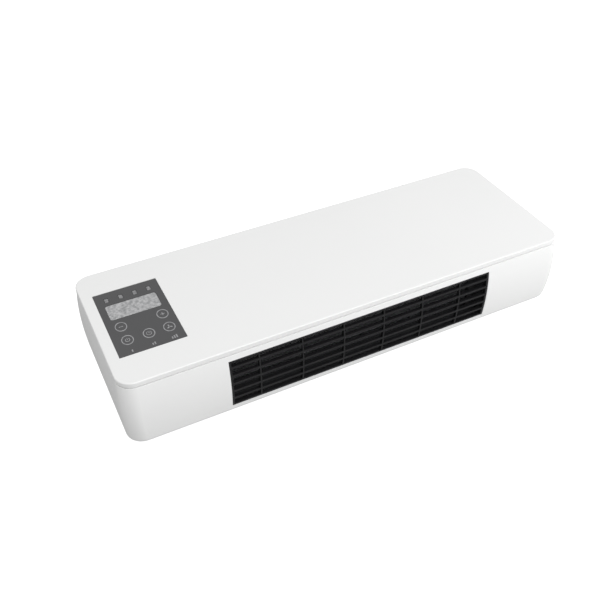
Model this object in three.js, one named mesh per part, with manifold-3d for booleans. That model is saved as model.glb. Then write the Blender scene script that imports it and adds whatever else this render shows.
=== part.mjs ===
// Bathroom wall fan heater: a slim box with a flat front panel, a barrel-sided casing, a black
// outlet grille on one long side and a control panel at one end. Millimetres, +Z up.
// It lies on its back: +Z is the front face, -Y blows out, +Y draws air in, -X has the controls.
// The origin is the centre of the back face.

import * as THREE from 'three';
import { mergeVertices } from 'three/addons/utils/BufferGeometryUtils.js';
import Module from 'manifold-3d';

const wasm = await Module();
wasm.setup();

// ---- Driving dimensions ----

// Outside
const LENGTH = 540; // front panel, along X
const DEPTH = 185; // front panel, along Y
const HEIGHT = 90; // back face to front face
const CORNER = 18.5; // plan radius of the four corners
const PANEL_SIDE = 5.8; // side of the front panel that shows
const PANEL_SKIN = 2.5;
const PANEL_EDGE = 1.4; // rounding of the panel's top edge
const SEAM = 1.6; // height of the recessed line under the panel
const SEAM_DEPTH = 1.4;
const SIDE_BULGE = 4; // how far the long sides swell past the panel
const END_BULGE = 2.2; // the same at the ends
const BACK_ROUND = 6; // rounding of the casing's back edge
const WALL = 2.5;
const GAP = 0.3; // between pieces that touch

// Casing flanges and rear cover
const FRONT_FLANGE = 10; // width of the casing's flange under the panel
const BACK_RIM = 9; // rim round the rear cover
const BACK_LEDGE = 10; // width of the ledge that the cover rests on
const COVER_THICK = 2.4;
const SCREW_R = 1.2;
const SCREW_LENGTH = 12;
const SCREW_HEAD_R = 2.9;
const SCREW_HEAD = 1.1;
const SCREW_BOSS_R = 3.5;
const SCREW_BOSS = 10.5; // height of a screw boss
const CORNER_SCREW_X = 18; // cover screw from the panel's end
const CORNER_SCREW_Y = 14.5; // cover screw from the panel's side
const KEYHOLE_X = 200;
const KEYHOLE_Y = 62;
const KEYHOLE_HEAD_R = 4.5;
const KEYHOLE_SLOT = 2.3; // half width of the keyhole's slot
const KEYHOLE_RISE = 10;
const COVER_RIB_FRONT = 32.5; // panel's line to the rib under the duct's front
const COVER_RIB_MIDDLE = 80.5; // panel's line to the rib under the fan
const COVER_RIB = 2;

// Outlet and intake openings
const OUTLET_LEFT = 112; // panel's left end to the opening
const OUTLET_RIGHT = 104; // panel's right end to the opening
const OUTLET_LOW = 11; // back face to the opening
const OUTLET_TOP = 6.6; // casing's front edge to the opening
const GRILLE_SUNK = 0.4; // grille face below the casing's face
const GRILLE_THICK = 4;
const GRILLE_LIP = 3; // hidden lip behind the casing wall
const GRILLE_FRAME = 2.4;
const GRILLE_BAR = 2.6;
const GRILLE_BAR_FIRST = 11.7; // opening's lower edge to the first bar
const GRILLE_BAR_PITCH = 10.9;
const GRILLE_RIB = 1.6;
const GRILLE_RIB_FIRST = 34; // opening's left edge to the first rib
const GRILLE_RIB_PITCH = 50;
const INTAKE_FRAME = 2;
const INTAKE_SLAT = 2.4;
const INTAKE_ROWS = 5;
const INTAKE_COLUMNS = 6;
const INTAKE_DEPTH = 7.5; // filter frame, from its inner edge to the panel's line
const INTAKE_STOP = 2; // ledge that stops the filter frame
const COLLAR_WALL = 2;
const NET_THICK = 0.8;
const NET_ROWS = 2;
const NET_COLUMNS = 8;
const NET_WIRE = 1.2;

// Fan duct
const SHEET = 2; // moulded walls of the duct
const DUCT_MARGIN = 2.5; // duct end plate beyond the opening
const DUCT_SIDE = 6.5; // duct's front edge inside the panel's line
const FLOOR_DROP = 1; // duct floor below the outlet's lower edge
const ROOF_RISE = 0.7; // duct roof above the outlet's upper edge
const FAN_Y = 16;
const FAN_UNDER = 4; // impeller to duct floor
const FAN_OVER = 4.7; // impeller to duct roof
const FAN_END = 5; // impeller to end plate
const BLADES = 16;
const BLADE_INNER = 0.72; // blades' inner radius as a share of the impeller's
const BLADE_THICK = 1.1;
const BLADE_SWEEP = 16; // degrees
const DISC = 2.2;
const HUB_R = 8;
const HUB_LENGTH = 11;
const SHAFT_R = 4;
const STUB_R = 3;
const SCROLL_GAP = 2.8; // impeller to the start of the scroll
const NOSE_SLOPE = 12; // roof's nose, from its tip to where it leaves the roof
const DUCT_SCREW_BACK = 52.5; // panel's line to the screws that hold the duct
const DUCT_FOOT_IN = 10; // duct's front edge to its feet, and the feet to the fan's axis
const DUCT_FOOT_SHARE = 0.25; // feet, from the duct's middle, as a share of its length

// Bearing
const BUSH_R = 6;
const BUSH_LENGTH = 9;
const SEAT_R = 13;
const SEAT_NECK_R = 10.7;
const SEAT_FLANGE = 2.7;

// Motor
const MOTOR_R = 28;
const MOTOR_LENGTH = 40;
const MOTOR_BOSS_R = 8.7;
const MOTOR_BOSS = 10;
const MOTOR_AWAY = 5.5; // duct end plate to the motor's boss
const MOTOR_SHELL = 4;
const ROTOR_R = 17;
const RING_R = 15;
const RING_LENGTH = 8;
const BRACKET_THICK = 2.5;
const BRACKET_HALF = 22;
const BRACKET_TOP_HALF = 12;
const BRACKET_SHOULDER = 4; // fan's axis to where a cheek narrows
const BRACKET_OVER = 6; // rubber ring to the top of a cheek

// PTC heater
const HEATER_BACK = 22.5; // panel's line to the heater's face
const HEATER_DEPTH = 20;
const HEATER_HOLDER = 10;
const HEATER_ROWS = 4;
const HOLDER_EDGE = 2.6; // holder's edge to the first row of fins
const HOLDER_LAP = 2; // holder past the fins, front and back
const PTC_BAR = 5;
const FIN_SHEET = 1.4; // the folded sheet's height on its steep flanks
const FIN_FOLDS = 20;
const TAB_WIDTH = 6.3;
const TAB_THICK = 0.8;
const TAB_OUT = 6; // tab past the duct's end plate
const THERMOSTAT_IN = 50; // heater's left end to the thermostat
const THERMOSTAT_CAP = 6.2;
const THERMOSTAT_R = 7.8;
const THERMAL_FUSE_AWAY = 40; // thermostat to the thermal fuse

// Control panel
const CONTROL_LEFT = 13; // panel's left end to the overlay
const CONTROL_WIDTH = 71.5;
const CONTROL_DEPTH = 106;
const OVERLAY = 1.2;
const OVERLAY_SUNK = 0.15;
const PAD = 3; // thickening of the panel under the overlay
const PAD_EDGE = 4;
const WINDOW_X = 56.5;
const WINDOW_Y = 24.5;
const WINDOW_ROUND = 2.5;
const WINDOW_BACK = 34.8; // overlay's far edge to the window's middle
const WINDOW_SEAT = 2;
const MODULE_EDGE = 1.2; // display module inside the window's seat
const LENS_COUNT = 4;
const LENS_X = 4.4;
const LENS_Y = 6.4;
const LENS_PITCH = 15.8;
const LENS_BACK = 13; // overlay's far edge to the row of lights
const KEY_PITCH_X = 22.3;
const KEY_PITCH_Y = 22.5;
const KEY_FRONT = 24.5; // overlay's near edge to the lower row of touch keys
const KEY_SPRING_R = 3.6;
const RECEIVER_DOWN = 15; // lower row of touch keys to the infrared receiver
const BOARD = 1.6;
const DISPLAY_BOARD_DOWN = 14.4; // front face to the display board
const PEG_R = 1.2;
const POST_R = 3;

// Power electronics
const POWER_BOARD_X = 82;
const POWER_BOARD_Y = 140;
const POWER_BOARD_LEFT = 14; // panel's left end to the board
const POWER_BOARD_UP = 12; // back face to the board
const POWER_POST_X = 11;
const POWER_POST_Y = 5;
const RELAY_IN = 27; // board's left edge to the row of relays
const RELAY_BACK = 26; // board's far edge to the first relay
const RELAY_PITCH = 22;
const RELAY_X = 19;
const RELAY_Y = 15.6;
const RELAY_HIGH = 15;
const TALL_IN = 59; // board's left edge to the row of tall parts
const TRANSFORMER_Y = 8;
const CORE_X = 28; // transformer's iron core
const CORE_Y = 16;
const CORE_LOW = 3;
const CORE_HIGH = 27;
const BOBBIN_X = 18; // transformer's winding
const BOBBIN_Y = 30;
const BOBBIN_HIGH = 22;
const CAPACITOR_Y = 46;
const CAPACITOR_R = 8;
const CAPACITOR_HIGH = 25;
const BUZZER_Y = -48;
const BUZZER_R = 6;
const BUZZER_HIGH = 8.5;
const FUSE_IN = 30; // board's left edge to the fuse's middle
const FUSE_HALF = 10;
const TERMINAL_AWAY = 22; // motor's front boss to the terminal block
const TERMINAL_LENGTH = 38;
const TERMINAL_BACK = 25.5; // panel's line to the terminal block
const TERMINAL_DEPTH = 19;
const TERMINAL_HIGH = 16;
const TERMINAL_WAYS = 3;

// Mains switch and cord inlet on the right end
const SWITCH_Y = 66;
const SWITCH_Z = 45;
const SWITCH_BEZEL_Y = 30;
const SWITCH_BEZEL_Z = 34;
const SWITCH_BEZEL = 1.8;
const SWITCH_BODY_Y = 22;
const SWITCH_BODY_Z = 28;
const SWITCH_BODY = 18;
const ROCKER_Y = 18;
const ROCKER_R = 12;
const ROCKER_TILT = 8; // degrees, either way
const RECESS_DEPTH = 3; // flat recess in the end wall, from the panel's line
const INLET_Y = -60;
const INLET_Z = 22;
const INLET_R = 6;
const INLET_BORE = 3.8;
const INLET_FLANGE = 8.5;
const RECESS_EDGE = 2;

// Front panel hooks
const HOOK_WIDTH = 14;
const HOOK_THICK = 2;
const HOOK_NOSE = 2;
const HOOK_X = 215;
const HOOK_Y = 45;

// ---- Worked out from the driving dimensions ----

const HALF_X = LENGTH / 2;
const HALF_Y = DEPTH / 2;
const CASE_TOP = HEIGHT - PANEL_SIDE - SEAM;
const LEDGE_LOW = COVER_THICK + GAP;
const LEDGE_TOP = LEDGE_LOW + WALL;
const SEAT_LEVEL = LEDGE_TOP + GAP; // what stands on the ledge or the cover's ribs starts here
const CASE_ROOF = CASE_TOP - WALL;

const OUTLET_X0 = -HALF_X + OUTLET_LEFT;
const OUTLET_X1 = HALF_X - OUTLET_RIGHT;
const OUTLET_Z0 = OUTLET_LOW;
const OUTLET_Z1 = CASE_TOP - OUTLET_TOP;

const DUCT_X0 = OUTLET_X0 - DUCT_MARGIN; // inner faces of the duct's end plates
const DUCT_X1 = OUTLET_X1 + DUCT_MARGIN;
const DUCT_FLOOR = OUTLET_Z0 - FLOOR_DROP;
const DUCT_ROOF = OUTLET_Z1 + ROOF_RISE;
const DUCT_Y0 = -HALF_Y + DUCT_SIDE;
const DUCT_Y1 = HALF_Y - INTAKE_DEPTH - INTAKE_STOP - GAP;
const FAN_R = (DUCT_ROOF - DUCT_FLOOR - FAN_UNDER - FAN_OVER) / 2;
const FAN_Z = DUCT_FLOOR + FAN_UNDER + FAN_R;
const FAN_X0 = DUCT_X0 + FAN_END;
const FAN_X1 = DUCT_X1 - FAN_END;

const MOTOR_X0 = DUCT_X1 + SHEET + MOTOR_AWAY; // start of the motor's front boss
const MOTOR_X1 = MOTOR_X0 + MOTOR_BOSS + MOTOR_LENGTH + MOTOR_BOSS;

const HEATER_Y0 = -HALF_Y + HEATER_BACK;
const HEATER_Y1 = HEATER_Y0 + HEATER_DEPTH;
const HEATER_X0 = DUCT_X0 + GAP + HEATER_HOLDER;
const HEATER_X1 = DUCT_X1 - GAP - HEATER_HOLDER;

const OVERLAY_TOP = HEIGHT - OVERLAY_SUNK;
const POCKET_FLOOR = OVERLAY_TOP - OVERLAY - GAP;
const PAD_LOW = POCKET_FLOOR - PAD;
const CONTROL_X0 = -HALF_X + CONTROL_LEFT;
const CONTROL_X = CONTROL_X0 + CONTROL_WIDTH / 2;
const WINDOW_UP = CONTROL_DEPTH / 2 - WINDOW_BACK;
const LENS_UP = CONTROL_DEPTH / 2 - LENS_BACK;
const KEY_LOW = -CONTROL_DEPTH / 2 + KEY_FRONT;
const DISPLAY_BOARD_TOP = HEIGHT - DISPLAY_BOARD_DOWN;

const POWER_X0 = -HALF_X + POWER_BOARD_LEFT;
const POWER_X1 = POWER_X0 + POWER_BOARD_X;
const POWER_TOP = POWER_BOARD_UP + BOARD;

const RECESS_X = HALF_X - RECESS_DEPTH; // flat floor of both recesses in the right end
const ROCKER_X = RECESS_X - WALL - WALL;

// ---- Shapes ----

const ROUND = 12; // sides of a small round piece
const ROUND_BIG = 20;
const ROUND_SMALL = 8;
const CORNER_STEPS = 8;

// A closed three.js geometry as a solid that can be joined and cut.
function solid(geometry) {
  const bare = geometry.clone();
  bare.deleteAttribute('normal');
  bare.deleteAttribute('uv');
  const merged = mergeVertices(bare, 1e-4);
  const vertProperties = new Float32Array(merged.attributes.position.array);
  const triVerts = new Uint32Array(merged.index.array);
  return new wasm.Manifold(new wasm.Mesh({ numProp: 3, vertProperties, triVerts }));
}

function geometryOf(body) {
  const mesh = body.getMesh();
  const geometry = new THREE.BufferGeometry();
  geometry.setAttribute('position', new THREE.BufferAttribute(mesh.vertProperties, 3));
  geometry.setIndex(new THREE.BufferAttribute(mesh.triVerts, 1));
  const flat = geometry.toNonIndexed();
  flat.computeVertexNormals();
  return flat;
}

function join(bodies) {
  return bodies.reduce((sum, body) => sum.add(body));
}

function cut(body, cutters) {
  return cutters.reduce((rest, cutter) => rest.subtract(cutter), body);
}

function box(x0, x1, y0, y1, z0, z1) {
  const geometry = new THREE.BoxGeometry(x1 - x0, y1 - y0, z1 - z0);
  geometry.translate((x0 + x1) / 2, (y0 + y1) / 2, (z0 + z1) / 2);
  return solid(geometry);
}

function roundedRectangle(halfX, halfY, radius) {
  const shape = new THREE.Shape();
  const x = halfX - radius;
  const y = halfY - radius;
  shape.absarc(x, y, radius, 0, Math.PI / 2);
  shape.absarc(-x, y, radius, Math.PI / 2, Math.PI);
  shape.absarc(-x, -y, radius, Math.PI, Math.PI * 1.5);
  shape.absarc(x, -y, radius, Math.PI * 1.5, Math.PI * 2);
  shape.closePath();
  return shape;
}

function polygon(points) {
  return new THREE.Shape(points.map(([u, v]) => new THREE.Vector2(u, v)));
}

function prismZ(shape, z0, z1, curveSegments = CORNER_STEPS) {
  const options = { depth: z1 - z0, bevelEnabled: false, curveSegments };
  const geometry = new THREE.ExtrudeGeometry(shape, options);
  geometry.translate(0, 0, z0);
  return geometry;
}

// A shape drawn in Y and Z, run along X.
function prismX(shape, x0, x1) {
  const turn = new THREE.Matrix4().makeBasis(
    new THREE.Vector3(0, 1, 0),
    new THREE.Vector3(0, 0, 1),
    new THREE.Vector3(1, 0, 0),
  );
  return solid(prismZ(shape, x0, x1).applyMatrix4(turn));
}

// A shape drawn in X and Z, run along Y.
function prismY(shape, y0, y1) {
  const turn = new THREE.Matrix4().makeBasis(
    new THREE.Vector3(1, 0, 0),
    new THREE.Vector3(0, 0, 1),
    new THREE.Vector3(0, -1, 0),
  );
  return solid(prismZ(shape, -y1, -y0).applyMatrix4(turn));
}

function rodZ(x, y, z0, z1, radius, sides = ROUND) {
  const geometry = new THREE.CylinderGeometry(radius, radius, z1 - z0, sides);
  geometry.rotateX(Math.PI / 2);
  geometry.translate(x, y, (z0 + z1) / 2);
  return solid(geometry);
}

function rodX(x0, x1, y, z, radius, sides = ROUND) {
  const geometry = new THREE.CylinderGeometry(radius, radius, x1 - x0, sides);
  geometry.rotateZ(-Math.PI / 2);
  geometry.translate((x0 + x1) / 2, y, z);
  return solid(geometry);
}

function rodY(x, y0, y1, z, radius, sides = ROUND) {
  const geometry = new THREE.CylinderGeometry(radius, radius, y1 - y0, sides);
  geometry.translate(x, (y0 + y1) / 2, z);
  return solid(geometry);
}

// A turned piece: points are [radius, distance along the axis].
function turned(points, sides) {
  const outline = points.map(([radius, along]) => new THREE.Vector2(radius, along));
  return new THREE.LatheGeometry(outline, sides);
}

function turnedX(points, x, y, z, sides = ROUND) {
  const geometry = turned(points, sides);
  geometry.rotateZ(-Math.PI / 2);
  geometry.translate(x, y, z);
  return solid(geometry);
}

function turnedZ(points, x, y, z, sides = ROUND) {
  const geometry = turned(points, sides);
  geometry.rotateX(Math.PI / 2);
  geometry.translate(x, y, z);
  return solid(geometry);
}

// A rounded rectangle lofted through levels, each with how far its sides and ends stand out.
function loft(inset, levels) {
  const halfX = HALF_X - inset;
  const halfY = HALF_Y - inset;
  const steps = levels.length - 1;
  const outline = roundedRectangle(halfX, halfY, Math.max(CORNER - inset, 2));
  const options = { depth: steps, steps, bevelEnabled: false, curveSegments: CORNER_STEPS };
  const geometry = new THREE.ExtrudeGeometry(outline, options);
  const place = geometry.attributes.position;
  for (let i = 0; i < place.count; i += 1) {
    const level = levels[Math.round(place.getZ(i))];
    const x = (place.getX(i) * (halfX + level.ends)) / halfX;
    const y = (place.getY(i) * (halfY + level.sides)) / halfY;
    place.setXYZ(i, x, y, level.z);
  }
  return solid(geometry);
}

// The inside drop of a rounded edge, at a distance from where the edge ends.
function edgeDrop(radius, distance) {
  if (distance >= radius) return 0;
  return radius - Math.sqrt(radius * radius - (radius - distance) ** 2);
}

function caseLevel(z) {
  const across = (2 * z) / CASE_TOP - 1;
  const swell = 1 - across * across;
  const drop = edgeDrop(BACK_ROUND, z);
  return { z, ends: END_BULGE * swell - drop, sides: SIDE_BULGE * swell - drop };
}

// The casing's outer form, or the same form inset, between two heights.
function caseForm(inset, z0, z1) {
  const backSteps = 3;
  const sideSteps = 5;
  const heights = [z0];
  for (let i = 1; i < backSteps; i += 1) {
    heights.push(BACK_ROUND * (1 - Math.cos((i * Math.PI) / 2 / backSteps)));
  }
  for (let i = 0; i < sideSteps; i += 1) {
    heights.push(BACK_ROUND + ((CASE_TOP - BACK_ROUND) * i) / sideSteps);
  }
  const between = heights.filter((z) => z === z0 || (z > z0 + 0.2 && z < z1 - 0.2));
  return loft(inset, [...between, z1].map(caseLevel));
}

function flatForm(inset, z0, z1) {
  return loft(inset, [z0, z1].map((z) => ({ z, ends: 0, sides: 0 })));
}

// Cells between evenly spaced bars, as boxes to cut away.
function cells(xEdges, zEdges, y0, y1) {
  const list = [];
  for (const [x0, x1] of xEdges) {
    for (const [z0, z1] of zEdges) list.push(box(x0, x1, y0, y1, z0, z1));
  }
  return list;
}

// Spans left open between bars of one width at the given middles.
function spans(low, high, middles, width) {
  const edges = [low];
  for (const middle of middles) edges.push(middle - width / 2, middle + width / 2);
  edges.push(high);
  const list = [];
  for (let i = 0; i < edges.length; i += 2) list.push([edges[i], edges[i + 1]]);
  return list;
}

// Middles of bars at a set pitch from the first, as many as keep clear of the far edge.
function pitched(first, high, pitch) {
  const list = [];
  for (let middle = first; middle < high - pitch / 2; middle += pitch) list.push(middle);
  return list;
}

function shared(low, high, cellCount) {
  const pitch = (high - low) / cellCount;
  return Array.from({ length: cellCount - 1 }, (_, i) => low + pitch * (i + 1));
}

// ---- Places used by more than one piece ----

const CORNER_SCREWS = [-1, 1].flatMap((sx) => [-1, 1].map((sy) => [
  sx * (HALF_X - CORNER_SCREW_X),
  sy * (HALF_Y - CORNER_SCREW_Y),
]));
const DUCT_SCREW_Y = -HALF_Y + DUCT_SCREW_BACK;
const DUCT_SCREWS = [
  [DUCT_X0 - SHEET - SCREW_BOSS_R + 0.5, DUCT_SCREW_Y],
  [DUCT_X1 + SHEET + SCREW_BOSS_R - 0.5, DUCT_SCREW_Y],
];
const COVER_SCREWS = [...CORNER_SCREWS, ...DUCT_SCREWS];

const POWER_POSTS = [POWER_X0 + POWER_POST_X, POWER_X1 - POWER_POST_X].flatMap((x) => (
  [-1, 1].map((side) => [x, side * (POWER_BOARD_Y / 2 - POWER_POST_Y)])
));
const DISPLAY_PEGS = [-1, 1].flatMap((sx) => [-1, 1].map((sy) => [
  CONTROL_X + sx * (CONTROL_WIDTH / 2 - 5),
  sy * (CONTROL_DEPTH / 2 - 6),
]));
const KEYS = [
  [-1, 1],
  [1, 1],
  [-1, 0],
  [0, 0],
  [1, 0],
].map(([column, row]) => [CONTROL_X + column * KEY_PITCH_X, KEY_LOW + row * KEY_PITCH_Y]);
const LENSES = Array.from({ length: LENS_COUNT }, (_, i) => [
  CONTROL_X + LENS_PITCH * (i - (LENS_COUNT - 1) / 2),
  LENS_UP,
]);

const HEATER_LOW = DUCT_FLOOR + GAP;
const HEATER_HIGH = DUCT_ROOF - GAP;
const FIN_HEIGHT = (HEATER_HIGH - HEATER_LOW - 2 * HOLDER_EDGE - 2 * PTC_BAR
  - (HEATER_ROWS + 1) * GAP) / HEATER_ROWS;

// Heater layers from the floor up: fins, bar, fins, fins, bar, fins.
function heaterLayers() {
  const kinds = ['fin', 'bar', 'fin', 'fin', 'bar', 'fin'];
  let z = HEATER_LOW + HOLDER_EDGE;
  return kinds.map((kind) => {
    const height = kind === 'fin' ? FIN_HEIGHT : PTC_BAR;
    const layer = { kind, z0: z, z1: z + height };
    z += height + GAP;
    return layer;
  });
}
const LAYERS = heaterLayers();

const HEATER_MIDDLE = (HEATER_Y0 + HEATER_Y1) / 2;
const THERMOSTAT_X = HEATER_X0 + THERMOSTAT_IN;
const TALL_X = POWER_X0 + TALL_IN;
const TERMINAL_BLOCK = {
  x0: MOTOR_X0 + TERMINAL_AWAY,
  x1: MOTOR_X0 + TERMINAL_AWAY + TERMINAL_LENGTH,
  y0: -HALF_Y + TERMINAL_BACK,
  y1: -HALF_Y + TERMINAL_BACK + TERMINAL_DEPTH,
};

// ---- Casing ----

function intakeCollar() {
  const y0 = HALF_Y - INTAKE_DEPTH - INTAKE_STOP;
  const outer = box(OUTLET_X0 - COLLAR_WALL, OUTLET_X1 + COLLAR_WALL, y0, HALF_Y,
    OUTLET_Z0 - COLLAR_WALL, OUTLET_Z1 + COLLAR_WALL);
  const throat = box(OUTLET_X0 + INTAKE_STOP, OUTLET_X1 - INTAKE_STOP, y0 - 1, HALF_Y,
    OUTLET_Z0 + INTAKE_STOP, OUTLET_Z1 - INTAKE_STOP);
  return outer.subtract(throat);
}

function mainCasing() {
  const shell = caseForm(0, 0, CASE_TOP).subtract(caseForm(WALL, LEDGE_TOP, CASE_ROOF));
  const body = join([
    shell,
    intakeCollar().intersect(caseForm(1, 0, CASE_TOP)),
    ...CORNER_SCREWS.map(([x, y]) => rodZ(x, y, LEDGE_LOW, LEDGE_TOP + SCREW_BOSS, SCREW_BOSS_R)),
    switchPad(),
    inletPad(),
  ]);
  return cut(body, [
    flatForm(FRONT_FLANGE, CASE_ROOF - 1, CASE_TOP + 1),
    flatForm(BACK_RIM, -1, LEDGE_LOW),
    flatForm(BACK_RIM + BACK_LEDGE, -1, LEDGE_TOP + 0.1)
      .subtract(box(-HALF_X, HALF_X, -HALF_Y, HALF_Y, LEDGE_TOP, LEDGE_TOP + 1)),
    box(OUTLET_X0, OUTLET_X1, -HALF_Y - 2 * SIDE_BULGE, DUCT_Y0 - 1, OUTLET_Z0, OUTLET_Z1),
    box(OUTLET_X0, OUTLET_X1, HALF_Y - INTAKE_DEPTH, HALF_Y + 2 * SIDE_BULGE,
      OUTLET_Z0, OUTLET_Z1),
    ...CORNER_SCREWS.map(([x, y]) => (
      rodZ(x, y, LEDGE_LOW - 1, SCREW_HEAD + SCREW_LENGTH + 1, SCREW_R + GAP)
    )),
    recess(SWITCH_Y, SWITCH_Z, SWITCH_BEZEL_Y, SWITCH_BEZEL_Z),
    box(0, HALF_X + 1, SWITCH_Y - SWITCH_BODY_Y / 2 - GAP, SWITCH_Y + SWITCH_BODY_Y / 2 + GAP,
      SWITCH_Z - SWITCH_BODY_Z / 2 - GAP, SWITCH_Z + SWITCH_BODY_Z / 2 + GAP),
    recess(INLET_Y, INLET_Z, INLET_FLANGE * 2, INLET_FLANGE * 2),
    rodX(RECESS_X - WALL - 1, RECESS_X + 1, INLET_Y, INLET_Z, INLET_R + GAP),
  ]);
}

// A flat-bottomed recess in the right end, a little larger than what sits in it.
function recess(y, z, sizeY, sizeZ) {
  const halfY = sizeY / 2 + RECESS_EDGE;
  const halfZ = sizeZ / 2 + RECESS_EDGE;
  return box(RECESS_X, HALF_X + 2 * END_BULGE, y - halfY, y + halfY, z - halfZ, z + halfZ);
}

// The wall behind a recess, thickened inwards.
function recessPad(y, z, sizeY, sizeZ) {
  const halfY = sizeY / 2 + RECESS_EDGE + WALL;
  const halfZ = sizeZ / 2 + RECESS_EDGE + WALL;
  return box(RECESS_X - WALL, HALF_X - 1, y - halfY, y + halfY, z - halfZ, z + halfZ);
}

function switchPad() {
  return recessPad(SWITCH_Y, SWITCH_Z, SWITCH_BEZEL_Y, SWITCH_BEZEL_Z)
    .intersect(caseForm(1, 0, CASE_TOP));
}

function inletPad() {
  return recessPad(INLET_Y, INLET_Z, INLET_FLANGE * 2, INLET_FLANGE * 2)
    .intersect(caseForm(1, 0, CASE_TOP));
}

function keyhole(side) {
  const x = side * KEYHOLE_X;
  return join([
    rodZ(x, KEYHOLE_Y, -1, COVER_THICK + 1, KEYHOLE_HEAD_R, ROUND),
    box(x - KEYHOLE_SLOT, x + KEYHOLE_SLOT, KEYHOLE_Y, KEYHOLE_Y + KEYHOLE_RISE,
      -1, COVER_THICK + 1),
  ]);
}

function rearCover() {
  const padEdge = 4;
  const ribs = [COVER_RIB_FRONT, COVER_RIB_MIDDLE].map((back) => box(DUCT_X0, DUCT_X1,
    -HALF_Y + back - COVER_RIB / 2, -HALF_Y + back + COVER_RIB / 2, COVER_THICK - 1, LEDGE_TOP));
  const motorPad = box(MOTOR_X0, MOTOR_X1 - padEdge, FAN_Y - BRACKET_HALF, FAN_Y + BRACKET_HALF,
    COVER_THICK - 1, LEDGE_TOP);
  const motorHollow = box(MOTOR_X0 + padEdge, MOTOR_X1 - 2 * padEdge,
    FAN_Y - BRACKET_HALF + padEdge, FAN_Y + BRACKET_HALF - padEdge, COVER_THICK, LEDGE_TOP + 1);
  const block = TERMINAL_BLOCK;
  const body = join([
    flatForm(BACK_RIM + GAP, 0, COVER_THICK),
    motorPad.subtract(motorHollow),
    box(block.x0, block.x1, block.y0, block.y1, COVER_THICK - 1, LEDGE_TOP),
    ...ribs,
    ...DUCT_SCREWS.map(([x, y]) => rodZ(x, y, COVER_THICK - 1, LEDGE_TOP, SCREW_BOSS_R)),
    ...POWER_POSTS.map(([x, y]) => rodZ(x, y, COVER_THICK - 1, POWER_BOARD_UP - GAP, POST_R)),
    ...POWER_POSTS.map(([x, y]) => rodZ(x, y, COVER_THICK, POWER_TOP + 1.5, PEG_R, ROUND_SMALL)),
  ]);
  return cut(body, [
    keyhole(-1),
    keyhole(1),
    ...COVER_SCREWS.map(([x, y]) => rodZ(x, y, -1, SCREW_HEAD + GAP, SCREW_HEAD_R + GAP)),
    ...COVER_SCREWS.map(([x, y]) => rodZ(x, y, 0, LEDGE_TOP + 1, SCREW_R + GAP)),
  ]);
}

function coverScrew([x, y]) {
  const head = rodZ(x, y, 0, SCREW_HEAD, SCREW_HEAD_R);
  const slot = 0.5;
  const cross = [
    box(x - SCREW_HEAD_R * 0.6, x + SCREW_HEAD_R * 0.6, y - slot / 2, y + slot / 2, -1, slot),
    box(x - slot / 2, x + slot / 2, y - SCREW_HEAD_R * 0.6, y + SCREW_HEAD_R * 0.6, -1, slot),
  ];
  return cut(head.add(rodZ(x, y, 0.5, SCREW_HEAD + SCREW_LENGTH, SCREW_R, ROUND_SMALL)), cross);
}

// ---- Front panel and controls ----

// A hook on the panel that snaps under the casing's front flange; side is 1 or -1.
function hookX(side, y) {
  const stem0 = HALF_X - FRONT_FLANGE - GAP - HOOK_THICK;
  const stem1 = stem0 + HOOK_THICK;
  const low = CASE_ROOF - GAP - HOOK_NOSE;
  const stem = box(stem0, stem1, y - HOOK_WIDTH / 2, y + HOOK_WIDTH / 2, low,
    HEIGHT - PANEL_SKIN + 1);
  const nose = box(stem0, stem1 + HOOK_NOSE, y - HOOK_WIDTH / 2, y + HOOK_WIDTH / 2, low,
    CASE_ROOF - GAP);
  const hook = stem.add(nose);
  return side > 0 ? hook : hook.mirror([1, 0, 0]);
}

function hookY(side, x) {
  const stem0 = HALF_Y - FRONT_FLANGE - GAP - HOOK_THICK;
  const stem1 = stem0 + HOOK_THICK;
  const low = CASE_ROOF - GAP - HOOK_NOSE;
  const stem = box(x - HOOK_WIDTH / 2, x + HOOK_WIDTH / 2, stem0, stem1, low,
    HEIGHT - PANEL_SKIN + 1);
  const nose = box(x - HOOK_WIDTH / 2, x + HOOK_WIDTH / 2, stem0, stem1 + HOOK_NOSE, low,
    CASE_ROOF - GAP);
  const hook = stem.add(nose);
  return side > 0 ? hook : hook.mirror([0, 1, 0]);
}

function plate() {
  const edgeSteps = 3;
  const low = CASE_TOP + SEAM;
  const levels = [{ z: low, ends: 0, sides: 0 }];
  for (let i = 0; i <= edgeSteps; i += 1) {
    const angle = (i * Math.PI) / 2 / edgeSteps;
    const z = HEIGHT - PANEL_EDGE * (1 - Math.sin(angle));
    const drop = PANEL_EDGE * (1 - Math.cos(angle));
    levels.push({ z, ends: -drop, sides: -drop });
  }
  return loft(0, levels);
}

function windowHole(grow, z0, z1) {
  const shape = roundedRectangle(WINDOW_X / 2 + grow, WINDOW_Y / 2 + grow, WINDOW_ROUND);
  const geometry = prismZ(shape, z0, z1, 3);
  geometry.translate(CONTROL_X, WINDOW_UP, 0);
  return solid(geometry);
}

function lensHole([x, y], grow, z0, z1) {
  return box(x - LENS_X / 2 - grow, x + LENS_X / 2 + grow, y - LENS_Y / 2 - grow,
    y + LENS_Y / 2 + grow, z0, z1);
}

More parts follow.
